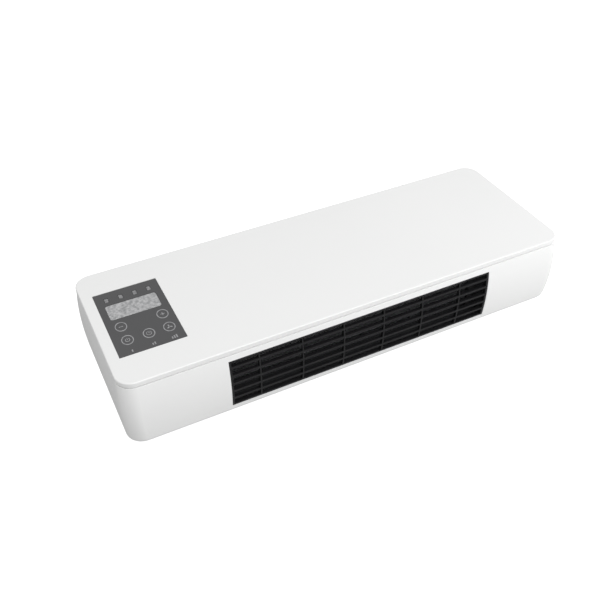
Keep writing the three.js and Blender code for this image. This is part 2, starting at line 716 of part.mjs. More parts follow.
function frontPanel() {
  const lipLow = CASE_TOP + GAP;
  const hollowTop = HEIGHT - PANEL_SKIN;
  const shell = plate()
    .add(flatForm(SEAM_DEPTH, lipLow, hollowTop))
    .subtract(flatForm(SEAM_DEPTH + WALL, lipLow - 1, hollowTop));
  const pad = box(CONTROL_X0 - PAD_EDGE, CONTROL_X0 + CONTROL_WIDTH + PAD_EDGE,
    -CONTROL_DEPTH / 2 - PAD_EDGE, CONTROL_DEPTH / 2 + PAD_EDGE, PAD_LOW, HEIGHT - 1.7);
  const body = join([
    shell,
    pad,
    ...[-1, 1].flatMap((side) => [hookX(side, -HOOK_Y), hookX(side, HOOK_Y)]),
    ...[-1, 1].flatMap((side) => [hookY(side, -HOOK_X), hookY(side, HOOK_X)]),
    ...DISPLAY_PEGS.map(([x, y]) => rodZ(x, y, DISPLAY_BOARD_TOP + GAP, PAD_LOW + 1, POST_R)),
    ...DISPLAY_PEGS.map(([x, y]) => (
      rodZ(x, y, DISPLAY_BOARD_TOP - BOARD - 1.5, PAD_LOW, PEG_R, ROUND_SMALL)
    )),
  ]);
  return cut(body, [
    box(CONTROL_X0 - GAP, CONTROL_X0 + CONTROL_WIDTH + GAP, -CONTROL_DEPTH / 2 - GAP,
      CONTROL_DEPTH / 2 + GAP, POCKET_FLOOR, HEIGHT + 1),
    windowHole(-WINDOW_SEAT, PAD_LOW - 1, HEIGHT),
    ...LENSES.map((place) => lensHole(place, GAP, PAD_LOW - 1, HEIGHT)),
  ]);
}

function controlOverlay() {
  const low = OVERLAY_TOP - OVERLAY;
  const sheet = box(CONTROL_X0, CONTROL_X0 + CONTROL_WIDTH, -CONTROL_DEPTH / 2,
    CONTROL_DEPTH / 2, low, OVERLAY_TOP);
  return cut(sheet, [
    windowHole(GAP, low - 1, HEIGHT),
    ...LENSES.map((place) => lensHole(place, GAP, low - 1, HEIGHT)),
  ]);
}

function displayModule() {
  const halfX = WINDOW_X / 2 - WINDOW_SEAT - MODULE_EDGE;
  const halfY = WINDOW_Y / 2 - WINDOW_SEAT - MODULE_EDGE;
  const top = OVERLAY_TOP - OVERLAY - GAP;
  return box(CONTROL_X - halfX, CONTROL_X + halfX, WINDOW_UP - halfY, WINDOW_UP + halfY,
    DISPLAY_BOARD_TOP + GAP, top);
}

function displayBoard() {
  const sheet = box(CONTROL_X0 + 1, CONTROL_X0 + CONTROL_WIDTH - 1, -CONTROL_DEPTH / 2 + 1,
    CONTROL_DEPTH / 2 - 1, DISPLAY_BOARD_TOP - BOARD, DISPLAY_BOARD_TOP);
  return cut(sheet, DISPLAY_PEGS.map(([x, y]) => (
    rodZ(x, y, DISPLAY_BOARD_TOP - BOARD - 1, DISPLAY_BOARD_TOP + 1, PEG_R + GAP, ROUND_SMALL)
  )));
}

function touchSpring([x, y]) {
  const low = DISPLAY_BOARD_TOP + GAP;
  const high = PAD_LOW - GAP;
  const cap = 1.4;
  return turnedZ([
    [0, 0],
    [KEY_SPRING_R - 1, 0],
    [KEY_SPRING_R - 1, high - low - cap],
    [KEY_SPRING_R, high - low - cap],
    [KEY_SPRING_R, high - low],
    [0, high - low],
  ], x, y, low, ROUND_SMALL);
}

function infraredReceiver() {
  const x = CONTROL_X + KEY_PITCH_X / 2;
  const y = KEY_LOW - RECEIVER_DOWN;
  const low = DISPLAY_BOARD_TOP + GAP;
  const body = box(x - 3, x + 3, y - 2.5, y + 2.5, low, low + 7);
  return body.add(turnedZ([[0, 0], [2.2, 0], [2, 1], [1.2, 1.8], [0, 2.1]], x, y, low + 6.9, 12));
}

// ---- Power electronics ----

function powerBoard() {
  const sheet = box(POWER_X0, POWER_X1, -POWER_BOARD_Y / 2, POWER_BOARD_Y / 2,
    POWER_BOARD_UP, POWER_TOP);
  return cut(sheet, POWER_POSTS.map(([x, y]) => (
    rodZ(x, y, POWER_BOARD_UP - 1, POWER_TOP + 1, PEG_R + GAP, ROUND_SMALL)
  )));
}

// A relay, counted from the board's far edge.
function relay(place) {
  const x = POWER_X0 + RELAY_IN;
  const y = POWER_BOARD_Y / 2 - RELAY_BACK - place * RELAY_PITCH;
  const halfY = RELAY_Y / 2;
  const low = POWER_TOP + GAP;
  const high = low + RELAY_HIGH;
  const chamfer = 1.2;
  const side = polygon([
    [-halfY, low],
    [halfY, low],
    [halfY, high - chamfer],
    [halfY - chamfer, high],
    [-halfY + chamfer, high],
    [-halfY, high - chamfer],
  ]);
  return prismX(side, x - RELAY_X / 2, x + RELAY_X / 2).translate([0, y, 0]);
}

function transformer() {
  const low = POWER_TOP + GAP;
  const core = box(TALL_X - CORE_X / 2, TALL_X + CORE_X / 2, TRANSFORMER_Y - CORE_Y / 2,
    TRANSFORMER_Y + CORE_Y / 2, low + CORE_LOW, low + CORE_HIGH);
  const bobbin = box(TALL_X - BOBBIN_X / 2, TALL_X + BOBBIN_X / 2, TRANSFORMER_Y - BOBBIN_Y / 2,
    TRANSFORMER_Y + BOBBIN_Y / 2, low, low + BOBBIN_HIGH);
  return core.add(bobbin);
}

function supplyCapacitor() {
  const groove = 0.5;
  return turnedZ([
    [0, 0],
    [CAPACITOR_R, 0],
    [CAPACITOR_R, 2],
    [CAPACITOR_R - groove, 2.6],
    [CAPACITOR_R, 3.2],
    [CAPACITOR_R, CAPACITOR_HIGH - 1],
    [CAPACITOR_R - 0.8, CAPACITOR_HIGH],
    [0, CAPACITOR_HIGH],
  ], TALL_X, CAPACITOR_Y, POWER_TOP + GAP);
}

function buzzer() {
  const hole = 1.2;
  const holeFloor = 5;
  return turnedZ([
    [0, 0],
    [BUZZER_R, 0],
    [BUZZER_R, BUZZER_HIGH],
    [hole, BUZZER_HIGH],
    [hole, holeFloor],
    [0, holeFloor],
  ], TALL_X, BUZZER_Y, POWER_TOP + GAP);
}

function boardFuse() {
  const x = POWER_X0 + FUSE_IN;
  const y = BUZZER_Y;
  const z = POWER_TOP + GAP + 4.5;
  const half = FUSE_HALF;
  const cap = 5;
  const capR = 2.8;
  const glassR = 2.4;
  const tube = turnedX([
    [0, -half],
    [capR, -half],
    [capR, -half + cap],
    [glassR, -half + cap],
    [glassR, half - cap],
    [capR, half - cap],
    [capR, half],
    [0, half],
  ], x, y, z, ROUND_SMALL);
  const clipHalf = 1.5;
  const clips = [-1, 1].map((side) => {
    const middle = x + side * (half - cap / 2);
    return box(middle - clipHalf, middle + clipHalf, y - capR - 0.6, y + capR + 0.6,
      POWER_TOP + GAP, z);
  });
  return join([tube, ...clips]);
}

function terminalBlock() {
  const block = TERMINAL_BLOCK;
  const low = SEAT_LEVEL;
  const high = low + TERMINAL_HIGH;
  const shoulder = low + TERMINAL_HIGH * 0.7;
  const crestHalf = 4;
  const wireBore = { z: low + 5.5, r: 2.2 };
  const screwWell = { z: low + 7, r: 2.6 };
  const pitch = TERMINAL_LENGTH / TERMINAL_WAYS;
  const middleY = (block.y0 + block.y1) / 2;
  const wells = [];
  for (let i = 0; i < TERMINAL_WAYS; i += 1) {
    const x = block.x0 + pitch * (i + 0.5);
    wells.push(rodZ(x, middleY, screwWell.z, high + 1, screwWell.r, ROUND_SMALL));
    wells.push(rodY(x, block.y0 - 1, block.y1 + 1, wireBore.z, wireBore.r, ROUND_SMALL));
  }
  const outline = polygon([
    [block.y0, low],
    [block.y1, low],
    [block.y1, shoulder],
    [middleY + crestHalf, high],
    [middleY - crestHalf, high],
    [block.y0, shoulder],
  ]);
  return cut(prismX(outline, block.x0, block.x1), wells);
}

// ---- Outlet grille and intake filter ----

function outletGrille() {
  const front = GRILLE_SUNK;
  const back = GRILLE_SUNK + GRILLE_THICK;
  const outer = caseForm(front, OUTLET_Z0 - GRILLE_LIP - 2, OUTLET_Z1 + GRILLE_LIP + 1);
  const inner = caseForm(back, OUTLET_Z0 - GRILLE_LIP - 3, OUTLET_Z1 + GRILLE_LIP + 2);
  const behind = caseForm(WALL + GAP, OUTLET_Z0 - GRILLE_LIP - 2, OUTLET_Z1 + GRILLE_LIP + 1);
  const face = outer.subtract(inner).intersect(box(OUTLET_X0 + GAP, OUTLET_X1 - GAP,
    -HALF_Y - 2 * SIDE_BULGE, DUCT_Y0, OUTLET_Z0 + GAP, OUTLET_Z1 - GAP));
  const lip = behind.subtract(inner).intersect(box(OUTLET_X0 - GRILLE_LIP, OUTLET_X1 + GRILLE_LIP,
    -HALF_Y - 2 * SIDE_BULGE, DUCT_Y0, OUTLET_Z0 - GRILLE_LIP, OUTLET_Z1 + GRILLE_LIP));
  const edge = GAP + GRILLE_FRAME;
  const bars = pitched(OUTLET_Z0 + GRILLE_BAR_FIRST, OUTLET_Z1, GRILLE_BAR_PITCH);
  const ribs = pitched(OUTLET_X0 + GRILLE_RIB_FIRST, OUTLET_X1, GRILLE_RIB_PITCH);
  return cut(face.add(lip), cells(
    spans(OUTLET_X0 + edge, OUTLET_X1 - edge, ribs, GRILLE_RIB),
    spans(OUTLET_Z0 + edge, OUTLET_Z1 - edge, bars, GRILLE_BAR),
    -HALF_Y - 2 * SIDE_BULGE,
    DUCT_Y0,
  ));
}

function intakeGrille() {
  const y0 = HALF_Y - INTAKE_DEPTH + GAP;
  const faceBack = GRILLE_SUNK + GRILLE_THICK - 1;
  const far = HALF_Y + 2 * SIDE_BULGE;
  const x0 = OUTLET_X0 + GAP;
  const x1 = OUTLET_X1 - GAP;
  const z0 = OUTLET_Z0 + GAP;
  const z1 = OUTLET_Z1 - GAP;
  const block = caseForm(GRILLE_SUNK, z0 - 2, z1 + 2).intersect(box(x0, x1, y0, far, z0, z1));
  const hollow = caseForm(faceBack, z0 - 2, z1 + 2).intersect(box(x0 + INTAKE_FRAME,
    x1 - INTAKE_FRAME, 0, far, z0 + INTAKE_FRAME, z1 - INTAKE_FRAME));
  const edge = INTAKE_FRAME;
  return cut(block, [hollow, ...cells(
    spans(x0 + edge, x1 - edge, shared(x0, x1, INTAKE_COLUMNS), INTAKE_SLAT),
    spans(z0 + edge, z1 - edge, shared(z0, z1, INTAKE_ROWS), INTAKE_SLAT),
    0,
    far,
  )]);
}

function dustNet() {
  const y0 = HALF_Y - INTAKE_DEPTH + 2 * GAP;
  const edge = GAP + INTAKE_FRAME + GAP;
  const x0 = OUTLET_X0 + edge;
  const x1 = OUTLET_X1 - edge;
  const z0 = OUTLET_Z0 + edge;
  const z1 = OUTLET_Z1 - edge;
  const sheet = box(x0, x1, y0, y0 + NET_THICK, z0, z1);
  return cut(sheet, cells(
    spans(x0 + NET_WIRE, x1 - NET_WIRE, shared(x0, x1, NET_COLUMNS), NET_WIRE),
    spans(z0 + NET_WIRE, z1 - NET_WIRE, shared(z0, z1, NET_ROWS), NET_WIRE),
    y0 - 1,
    y0 + NET_THICK + 1,
  ));
}

// ---- Fan duct ----

// A point beside the fan, at an angle from +Y and a radius from its axis.
function besideFan(angle, radius) {
  const turn = THREE.MathUtils.degToRad(angle);
  return [FAN_Y + radius * Math.cos(turn), FAN_Z + radius * Math.sin(turn)];
}

function scrollSheet() {
  const startAngle = -18;
  const endAngle = -90;
  const steps = 6;
  const inner = [];
  const outer = [];
  for (let i = 0; i <= steps; i += 1) {
    const share = i / steps;
    const angle = startAngle + (endAngle - startAngle) * share;
    const radius = FAN_R + SCROLL_GAP + (FAN_UNDER - SCROLL_GAP) * share;
    inner.push(besideFan(angle, radius));
    outer.push(besideFan(angle, radius + SHEET));
  }
  const front = [[DUCT_Y0, DUCT_FLOOR], [DUCT_Y0, DUCT_FLOOR - SHEET]];
  return polygon([...inner, ...front, ...outer.reverse()]);
}

function endPlate(x0, holeR) {
  const sheet = box(x0, x0 + SHEET, DUCT_Y0, DUCT_Y1, SEAT_LEVEL, DUCT_ROOF + SHEET);
  return sheet.subtract(rodX(x0 - 1, x0 + SHEET + 1, FAN_Y, FAN_Z, holeR, ROUND_BIG));
}

function tabSlots() {
  return LAYERS.filter((layer) => layer.kind === 'bar').map(({ z0, z1 }) => {
    const z = (z0 + z1) / 2;
    return box(DUCT_X0 - SHEET - 1, HEATER_X0, HEATER_MIDDLE - TAB_WIDTH / 2 - GAP,
      HEATER_MIDDLE + TAB_WIDTH / 2 + GAP, z - TAB_THICK / 2 - GAP, z + TAB_THICK / 2 + GAP);
  });
}

function scrollHousing() {
  const footY0 = DUCT_Y0 + DUCT_FOOT_IN;
  const footY1 = FAN_Y - DUCT_FOOT_IN;
  const feet = [-DUCT_FOOT_SHARE, DUCT_FOOT_SHARE].map((share) => {
    const x = (DUCT_X0 + DUCT_X1) / 2 + (DUCT_X1 - DUCT_X0) * share;
    return box(x - SHEET / 2, x + SHEET / 2, footY0, footY1, SEAT_LEVEL, DUCT_FLOOR - 1);
  });
  const body = join([
    endPlate(DUCT_X0 - SHEET, SEAT_NECK_R + GAP),
    endPlate(DUCT_X1, MOTOR_BOSS_R + 2),
    prismX(scrollSheet(), DUCT_X0 - 0.5, DUCT_X1 + 0.5),
    ...feet,
    ...DUCT_SCREWS.map(([x, y]) => rodZ(x, y, SEAT_LEVEL, SEAT_LEVEL + SCREW_BOSS, SCREW_BOSS_R)),
  ]);
  return cut(body, [
    ...DUCT_SCREWS.map(([x, y]) => (
      rodZ(x, y, SEAT_LEVEL - 1, SCREW_HEAD + SCREW_LENGTH + 1, SCREW_R + GAP)
    )),
    ...tabSlots(),
  ]);
}

// The duct's roof, with the nose that parts intake air from outlet air beside the fan.
function airGuide() {
  const roof = box(DUCT_X0 + GAP, DUCT_X1 - GAP, DUCT_Y0, DUCT_Y1, DUCT_ROOF,
    DUCT_ROOF + SHEET);
  const tip = besideFan(116, FAN_R + SCROLL_GAP);
  const nose = polygon([
    [tip[0] - NOSE_SLOPE, DUCT_ROOF + 1],
    [tip[0] - 4, tip[1] + 0.8],
    [tip[0] - 1, tip[1]],
    [tip[0] + 1.5, tip[1] + 0.6],
    [tip[0] + 6, DUCT_ROOF + 1],
  ]);
  return cut(roof.add(prismX(nose, DUCT_X0 + GAP, DUCT_X1 - GAP)), [
    rodZ(THERMOSTAT_X, HEATER_MIDDLE, DUCT_ROOF - 1, DUCT_ROOF + SHEET + 1, THERMOSTAT_CAP + GAP),
  ]);
}

// ---- Heater ----

function finRow(layer) {
  const x0 = HEATER_X0 + GAP;
  const x1 = HEATER_X1 - GAP;
  const step = (x1 - x0) / (2 * FIN_FOLDS);
  const rise = layer.z1 - layer.z0 - FIN_SHEET;
  const under = [];
  const over = [];
  for (let i = 0; i <= 2 * FIN_FOLDS; i += 1) {
    const z = layer.z0 + (i % 2) * rise;
    under.push([x0 + i * step, z]);
    over.push([x0 + i * step, z + FIN_SHEET]);
  }
  return prismY(polygon([...under, ...over.reverse()]), HEATER_Y0, HEATER_Y1);
}

function ptcBar(layer) {
  const intoHolder = HEATER_HOLDER - 3;
  const z = (layer.z0 + layer.z1) / 2;
  return join([
    box(HEATER_X0 - intoHolder, HEATER_X1 + intoHolder, HEATER_Y0, HEATER_Y1, layer.z0, layer.z1),
    box(DUCT_X0 - SHEET - TAB_OUT, HEATER_X0, HEATER_MIDDLE - TAB_WIDTH / 2,
      HEATER_MIDDLE + TAB_WIDTH / 2, z - TAB_THICK / 2, z + TAB_THICK / 2),
  ]);
}

function heaterHolder(side) {
  const x0 = side < 0 ? DUCT_X0 + GAP : HEATER_X1;
  const pockets = LAYERS.filter((layer) => layer.kind === 'bar').map(({ z0, z1 }) => {
    const deep = HEATER_HOLDER - 2;
    const px0 = side < 0 ? HEATER_X0 - deep : HEATER_X1 - 1;
    const px1 = side < 0 ? HEATER_X0 + 1 : HEATER_X1 + deep;
    return box(px0, px1, HEATER_Y0 - GAP, HEATER_Y1 + GAP, z0 - GAP, z1 + GAP);
  });
  const block = box(x0, x0 + HEATER_HOLDER, HEATER_Y0 - HOLDER_LAP, HEATER_Y1 + HOLDER_LAP,
    HEATER_LOW, HEATER_HIGH);
  return cut(block, side < 0 ? [...pockets, ...tabSlots()] : pockets);
}

function thermostat() {
  const top = DUCT_ROOF + SHEET + GAP;
  const disc = turnedZ([
    [0, -3],
    [THERMOSTAT_CAP, -3],
    [THERMOSTAT_CAP, 0],
    [THERMOSTAT_R, 0],
    [THERMOSTAT_R, 5],
    [THERMOSTAT_R - 1, 6],
    [0, 6],
  ], THERMOSTAT_X, HEATER_MIDDLE, top);
  const tabs = box(THERMOSTAT_X - TAB_WIDTH / 2, THERMOSTAT_X + TAB_WIDTH / 2,
    HEATER_MIDDLE - THERMOSTAT_R - TAB_OUT, HEATER_MIDDLE + THERMOSTAT_R + TAB_OUT,
    top + 3, top + 3 + TAB_THICK);
  return disc.add(tabs);
}

function thermalFuse() {
  const lead = 16;
  const leadR = 0.5;
  const canR = 2;
  return turnedX([
    [0, -lead],
    [leadR, -lead],
    [leadR, -6],
    [canR, -5],
    [canR, 5],
    [leadR, 6],
    [leadR, lead],
    [0, lead],
  ], THERMOSTAT_X + THERMAL_FUSE_AWAY, HEATER_MIDDLE, DUCT_ROOF + SHEET + GAP + canR);
}

// ---- Fan, bearing and motor ----

function blade() {
  const inner = FAN_R * BLADE_INNER;
  const middle = (inner + FAN_R) / 2;
  const outer = FAN_R - 0.6;
  const sweep = THREE.MathUtils.degToRad(BLADE_SWEEP);
  const point = (radius, angle) => [radius * Math.cos(angle), radius * Math.sin(angle)];
  const half = (radius) => BLADE_THICK / 2 / radius;
  return polygon([
    point(inner, -half(inner)),
    point(middle, sweep * 0.35 - half(middle)),
    point(outer, sweep - half(outer)),
    point(outer, sweep + half(outer)),
    point(middle, sweep * 0.35 + 1.6 * half(middle)),
    point(inner, half(inner)),
  ]);
}

function impeller() {
  const middle = (FAN_X0 + FAN_X1) / 2;
  const discs = [FAN_X0, middle - DISC / 2, FAN_X1 - DISC].map((x) => (
    rodX(x, x + DISC, 0, 0, FAN_R, ROUND_BIG)
  ));
  const centreHole = rodX(middle - DISC, middle + DISC, 0, 0, FAN_R * BLADE_INNER - 3, ROUND_BIG);
  const one = prismX(blade(), FAN_X0 + 0.5, FAN_X1 - 0.5);
  const blades = Array.from({ length: BLADES }, (_, i) => one.rotate([(360 * i) / BLADES, 0, 0]));
  const hubs = [
    rodX(FAN_X0, FAN_X0 + HUB_LENGTH, 0, 0, HUB_R),
    rodX(FAN_X1 - HUB_LENGTH, FAN_X1, 0, 0, HUB_R),
  ];
  const body = join([...discs, ...hubs]);
  const wheel = join([body.subtract(centreHole), ...blades]);
  return cut(wheel, [
    rodX(FAN_X0 - 1, FAN_X0 + HUB_LENGTH + 1, 0, 0, STUB_R + GAP, 12),
    rodX(FAN_X1 - HUB_LENGTH - 1, FAN_X1 + 1, 0, 0, SHAFT_R + GAP, 12),
  ]).translate([0, FAN_Y, FAN_Z]);
}

function stubShaft() {
  return rodX(DUCT_X0 - SHEET - 5, FAN_X0 + HUB_LENGTH - 1, FAN_Y, FAN_Z, STUB_R, 12);
}

function bearingBush() {
  const middle = DUCT_X0 - SHEET / 2;
  return turnedX([
    [STUB_R + GAP, -BUSH_LENGTH / 2],
    [BUSH_R, -BUSH_LENGTH / 2],
    [BUSH_R, BUSH_LENGTH / 2],
    [STUB_R + GAP, BUSH_LENGTH / 2],
    [STUB_R + GAP, -BUSH_LENGTH / 2],
  ], middle, FAN_Y, FAN_Z);
}

function bearingSeat() {
  const middle = DUCT_X0 - SHEET / 2;
  const neck = SHEET / 2 + GAP;
  const bore = BUSH_R + GAP;
  return turnedX([
    [bore, -neck - SEAT_FLANGE],
    [SEAT_R, -neck - SEAT_FLANGE],
    [SEAT_R, -neck],
    [SEAT_NECK_R, -neck],
    [SEAT_NECK_R, neck],
    [SEAT_R, neck],
    [SEAT_R, neck + SEAT_FLANGE],
    [bore, neck + SEAT_FLANGE],
    [bore, -neck - SEAT_FLANGE],
  ], middle, FAN_Y, FAN_Z);
}

function motorCan() {
  const body0 = MOTOR_BOSS;
  const body1 = MOTOR_BOSS + MOTOR_LENGTH;
  const end = body1 + MOTOR_BOSS;
  const bore = SHAFT_R + GAP;
  const room = ROTOR_R + GAP;
  return turnedX([
    [bore, 0],
    [MOTOR_BOSS_R, 0],
    [MOTOR_BOSS_R, body0],
    [MOTOR_R - 2, body0],
    [MOTOR_R, body0 + 2],
    [MOTOR_R, body1 - 2],
    [MOTOR_R - 2, body1],
    [MOTOR_BOSS_R, body1],
    [MOTOR_BOSS_R, end],
    [bore, end],
    [bore, body1 - MOTOR_SHELL],
    [room, body1 - MOTOR_SHELL],
    [room, body0 + MOTOR_SHELL],
    [bore, body0 + MOTOR_SHELL],
    [bore, 0],
  ], MOTOR_X0, FAN_Y, FAN_Z, ROUND_BIG);
}

function motorRotor() {
  const x0 = MOTOR_BOSS + MOTOR_SHELL + GAP;
  const x1 = MOTOR_BOSS + MOTOR_LENGTH - MOTOR_SHELL - GAP;
  const bore = SHAFT_R + GAP;
  return turnedX([
    [bore, x0],
    [ROTOR_R, x0],
    [ROTOR_R, x1],
    [bore, x1],
    [bore, x0],
  ], MOTOR_X0, FAN_Y, FAN_Z, ROUND_BIG);
}

function motorShaft() {
  return rodX(FAN_X1 - HUB_LENGTH + 1, MOTOR_X1 + 2, FAN_Y, FAN_Z, SHAFT_R, 12);
}

function ringMiddle(end) {
  return end < 0 ? MOTOR_X0 + MOTOR_BOSS / 2 : MOTOR_X1 - MOTOR_BOSS / 2;
}

function motorRing(end) {
  const half = RING_LENGTH / 2;
  const bore = MOTOR_BOSS_R + GAP;
  return turnedX([
    [bore, -half],
    [RING_R, -half],
    [RING_R, half],
    [bore, half],
    [bore, -half],
  ], ringMiddle(end), FAN_Y, FAN_Z, ROUND_BIG);
}

function motorBracket() {
  const base = box(MOTOR_X0 - 2, MOTOR_X1 - 2, FAN_Y - BRACKET_HALF, FAN_Y + BRACKET_HALF,
    SEAT_LEVEL, SEAT_LEVEL + BRACKET_THICK);
  const low = SEAT_LEVEL;
  const shoulder = FAN_Z + BRACKET_SHOULDER;
  const high = FAN_Z + RING_R + BRACKET_OVER;
  const cheek = polygon([
    [FAN_Y - BRACKET_HALF, low],
    [FAN_Y + BRACKET_HALF, low],
    [FAN_Y + BRACKET_HALF, shoulder],
    [FAN_Y + BRACKET_TOP_HALF, high],
    [FAN_Y - BRACKET_TOP_HALF, high],
    [FAN_Y - BRACKET_HALF, shoulder],
  ]);
  const cheeks = [-1, 1].map((end) => {
    const x = ringMiddle(end);
    return prismX(cheek, x - BRACKET_THICK / 2, x + BRACKET_THICK / 2)
      .subtract(rodX(x - 5, x + 5, FAN_Y, FAN_Z, RING_R + GAP, ROUND_BIG));
  });
  return join([base, ...cheeks]);
}

// ---- Mains switch and cord inlet ----

function switchHousing() {
  const bezelX = RECESS_X + GAP;
  const top = bezelX + SWITCH_BEZEL;
  const back = RECESS_X - SWITCH_BODY;
  const body = join([
    box(bezelX, top, SWITCH_Y - SWITCH_BEZEL_Y / 2, SWITCH_Y + SWITCH_BEZEL_Y / 2,
      SWITCH_Z - SWITCH_BEZEL_Z / 2, SWITCH_Z + SWITCH_BEZEL_Z / 2),
    box(back, bezelX + 0.5, SWITCH_Y - SWITCH_BODY_Y / 2, SWITCH_Y + SWITCH_BODY_Y / 2,
      SWITCH_Z - SWITCH_BODY_Z / 2, SWITCH_Z + SWITCH_BODY_Z / 2),
    ...[-6, 6].map((z) => box(back - 7, back + 1, SWITCH_Y - 3.1, SWITCH_Y + 3.1,
      SWITCH_Z + z - 0.4, SWITCH_Z + z + 0.4)),
  ]);
  const room = ROCKER_Y / 2 + GAP;
  const reach = ROCKER_R + GAP;
  return cut(body, [
    box(ROCKER_X - 5.5, top + 1, SWITCH_Y - room, SWITCH_Y + room, SWITCH_Z - reach,
      SWITCH_Z + reach),
    rodY(ROCKER_X, SWITCH_Y - SWITCH_BODY_Y, SWITCH_Y + SWITCH_BODY_Y, SWITCH_Z,
      1.4 + GAP, 12),
  ]);
}

// The rocker turns about Y; its ends are arcs round the pivot so that it clears its housing.
function powerRocker() {
  const arc = (angle) => {
    const turn = THREE.MathUtils.degToRad(angle);
    return [ROCKER_R * Math.cos(turn), ROCKER_R * Math.sin(turn)];
  };
  const upper = [48, 62, 76, 90, 103].map(arc);
  const lower = [...upper].reverse().map(([x, z]) => [x, -z]);
  const outline = polygon([[5.6, 0], ...upper, ...lower]);
  const pin = rodY(0, -ROCKER_Y / 2 - 1.6, ROCKER_Y / 2 + 1.6, 0, 1.4, 12);
  return prismY(outline, -ROCKER_Y / 2, ROCKER_Y / 2)
    .add(pin)
    .rotate([0, ROCKER_TILT, 0])
    .translate([ROCKER_X, SWITCH_Y, SWITCH_Z]);
}

function cordInlet() {
  const outer = RECESS_X + GAP;
  const flange = 1.8;
  const inner = -WALL - 2 * GAP;
  return turnedX([
    [INLET_BORE, inner - 3],
    [INLET_R + 1.6, inner - 3],
    [INLET_R + 1.6, inner],
    [INLET_R, inner],
    [INLET_R, 0],
    [INLET_FLANGE, 0],
    [INLET_FLANGE, flange * 0.5],
    [INLET_FLANGE - 1, flange],
    [INLET_BORE, flange],
    [INLET_BORE, inner - 3],
  ], outer, INLET_Y, INLET_Z);
}

// ---- Assembly ----

const white = { color: 0xeeeeec, roughness: 0.38, metalness: 0 };
const black = { color: 0x17181a, roughness: 0.5, metalness: 0 };
const darkGrey = { color: 0x45484c, roughness: 0.25, metalness: 0 };
const lightGrey = { color: 0xa5a9ab, roughness: 0.2, metalness: 0 };
const clear = { color: 0xc9cdcf, roughness: 0.2, metalness: 0 };
const board = { color: 0x1f5a3a, roughness: 0.5, metalness: 0 };
const steel = { color: 0xb9bcbf, roughness: 0.35, metalness: 0.9 };
const aluminium = { color: 0xc9cbcd, roughness: 0.4, metalness: 0.85 };
const bronze = { color: 0xa9825a, roughness: 0.5, metalness: 0.8 };
const rubber = { color: 0x202020, roughness: 0.8, metalness: 0 };
const heatPlastic = { color: 0x2b2b2c, roughness: 0.6, metalness: 0 };
const greyPlastic = { color: 0xd8d8d4, roughness: 0.55, metalness: 0 };
const blackPart = { color: 0x1c1d1f, roughness: 0.45, metalness: 0 };
const relayBlue = { color: 0x24527e, roughness: 0.4, metalness: 0 };

const heater = new THREE.Group();

function add(name, body, look) {
  const mesh = new THREE.Mesh(geometryOf(body), new THREE.MeshStandardMaterial(look));
  mesh.name = name;
  heater.add(mesh);
}

add('front_panel', frontPanel(), white);
add('main_casing', mainCasing(), white);
add('rear_cover', rearCover(), greyPlastic);
COVER_SCREWS.forEach((place, i) => add(`cover_screw_${i + 1}`, coverScrew(place), steel));
add('outlet_grille', outletGrille(), black);
add('intake_grille', intakeGrille(), white);
add('dust_net', dustNet(), blackPart);

add('control_overlay', controlOverlay(), darkGrey);
add('display_window', windowHole(0, OVERLAY_TOP - OVERLAY, OVERLAY_TOP), lightGrey);
LENSES.forEach((place, i) => add(
  `indicator_lens_${i + 1}`,
  lensHole(place, 0, DISPLAY_BOARD_TOP + GAP, OVERLAY_TOP),
  clear,
));
add('display_module', displayModule(), blackPart);
add('display_board', displayBoard(), board);
KEYS.forEach((place, i) => add(`touch_spring_${i + 1}`, touchSpring(place), steel));
add('infrared_receiver', infraredReceiver(), blackPart);

add('power_board', powerBoard(), board);
['heater_relay_1', 'heater_relay_2', 'fan_relay'].forEach((name, place) => {
  add(name, relay(place), relayBlue);
});
add('supply_transformer', transformer(), blackPart);
add('supply_capacitor', supplyCapacitor(), blackPart);
add('buzzer', buzzer(), blackPart);
add('board_fuse', boardFuse(), clear);
add('terminal_block', terminalBlock(), greyPlastic);

add('scroll_housing', scrollHousing(), greyPlastic);
add('air_guide', airGuide(), greyPlastic);
LAYERS.filter((layer) => layer.kind === 'fin').forEach((layer, i) => {
  add(`heater_fins_${i + 1}`, finRow(layer), aluminium);
});
LAYERS.filter((layer) => layer.kind === 'bar').forEach((layer, i) => {
  add(`ptc_bar_${i + 1}`, ptcBar(layer), aluminium);
});
add('heater_holder_left', heaterHolder(-1), heatPlastic);
add('heater_holder_right', heaterHolder(1), heatPlastic);
add('thermostat', thermostat(), blackPart);
add('thermal_fuse', thermalFuse(), steel);

add('impeller', impeller(), heatPlastic);
add('stub_shaft', stubShaft(), steel);
add('bearing_bush', bearingBush(), bronze);
add('bearing_seat', bearingSeat(), rubber);
add('motor_can', motorCan(), steel);
add('motor_rotor', motorRotor(), steel);
add('motor_shaft', motorShaft(), steel);
add('motor_ring_front', motorRing(-1), rubber);
add('motor_ring_rear', motorRing(1), rubber);
add('motor_bracket', motorBracket(), steel);

add('switch_housing', switchHousing(), blackPart);
add('power_rocker', powerRocker(), blackPart);
add('cord_inlet', cordInlet(), rubber);

export default heater;
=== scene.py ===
import math

import bmesh
import bpy
from mathutils import Matrix, Vector


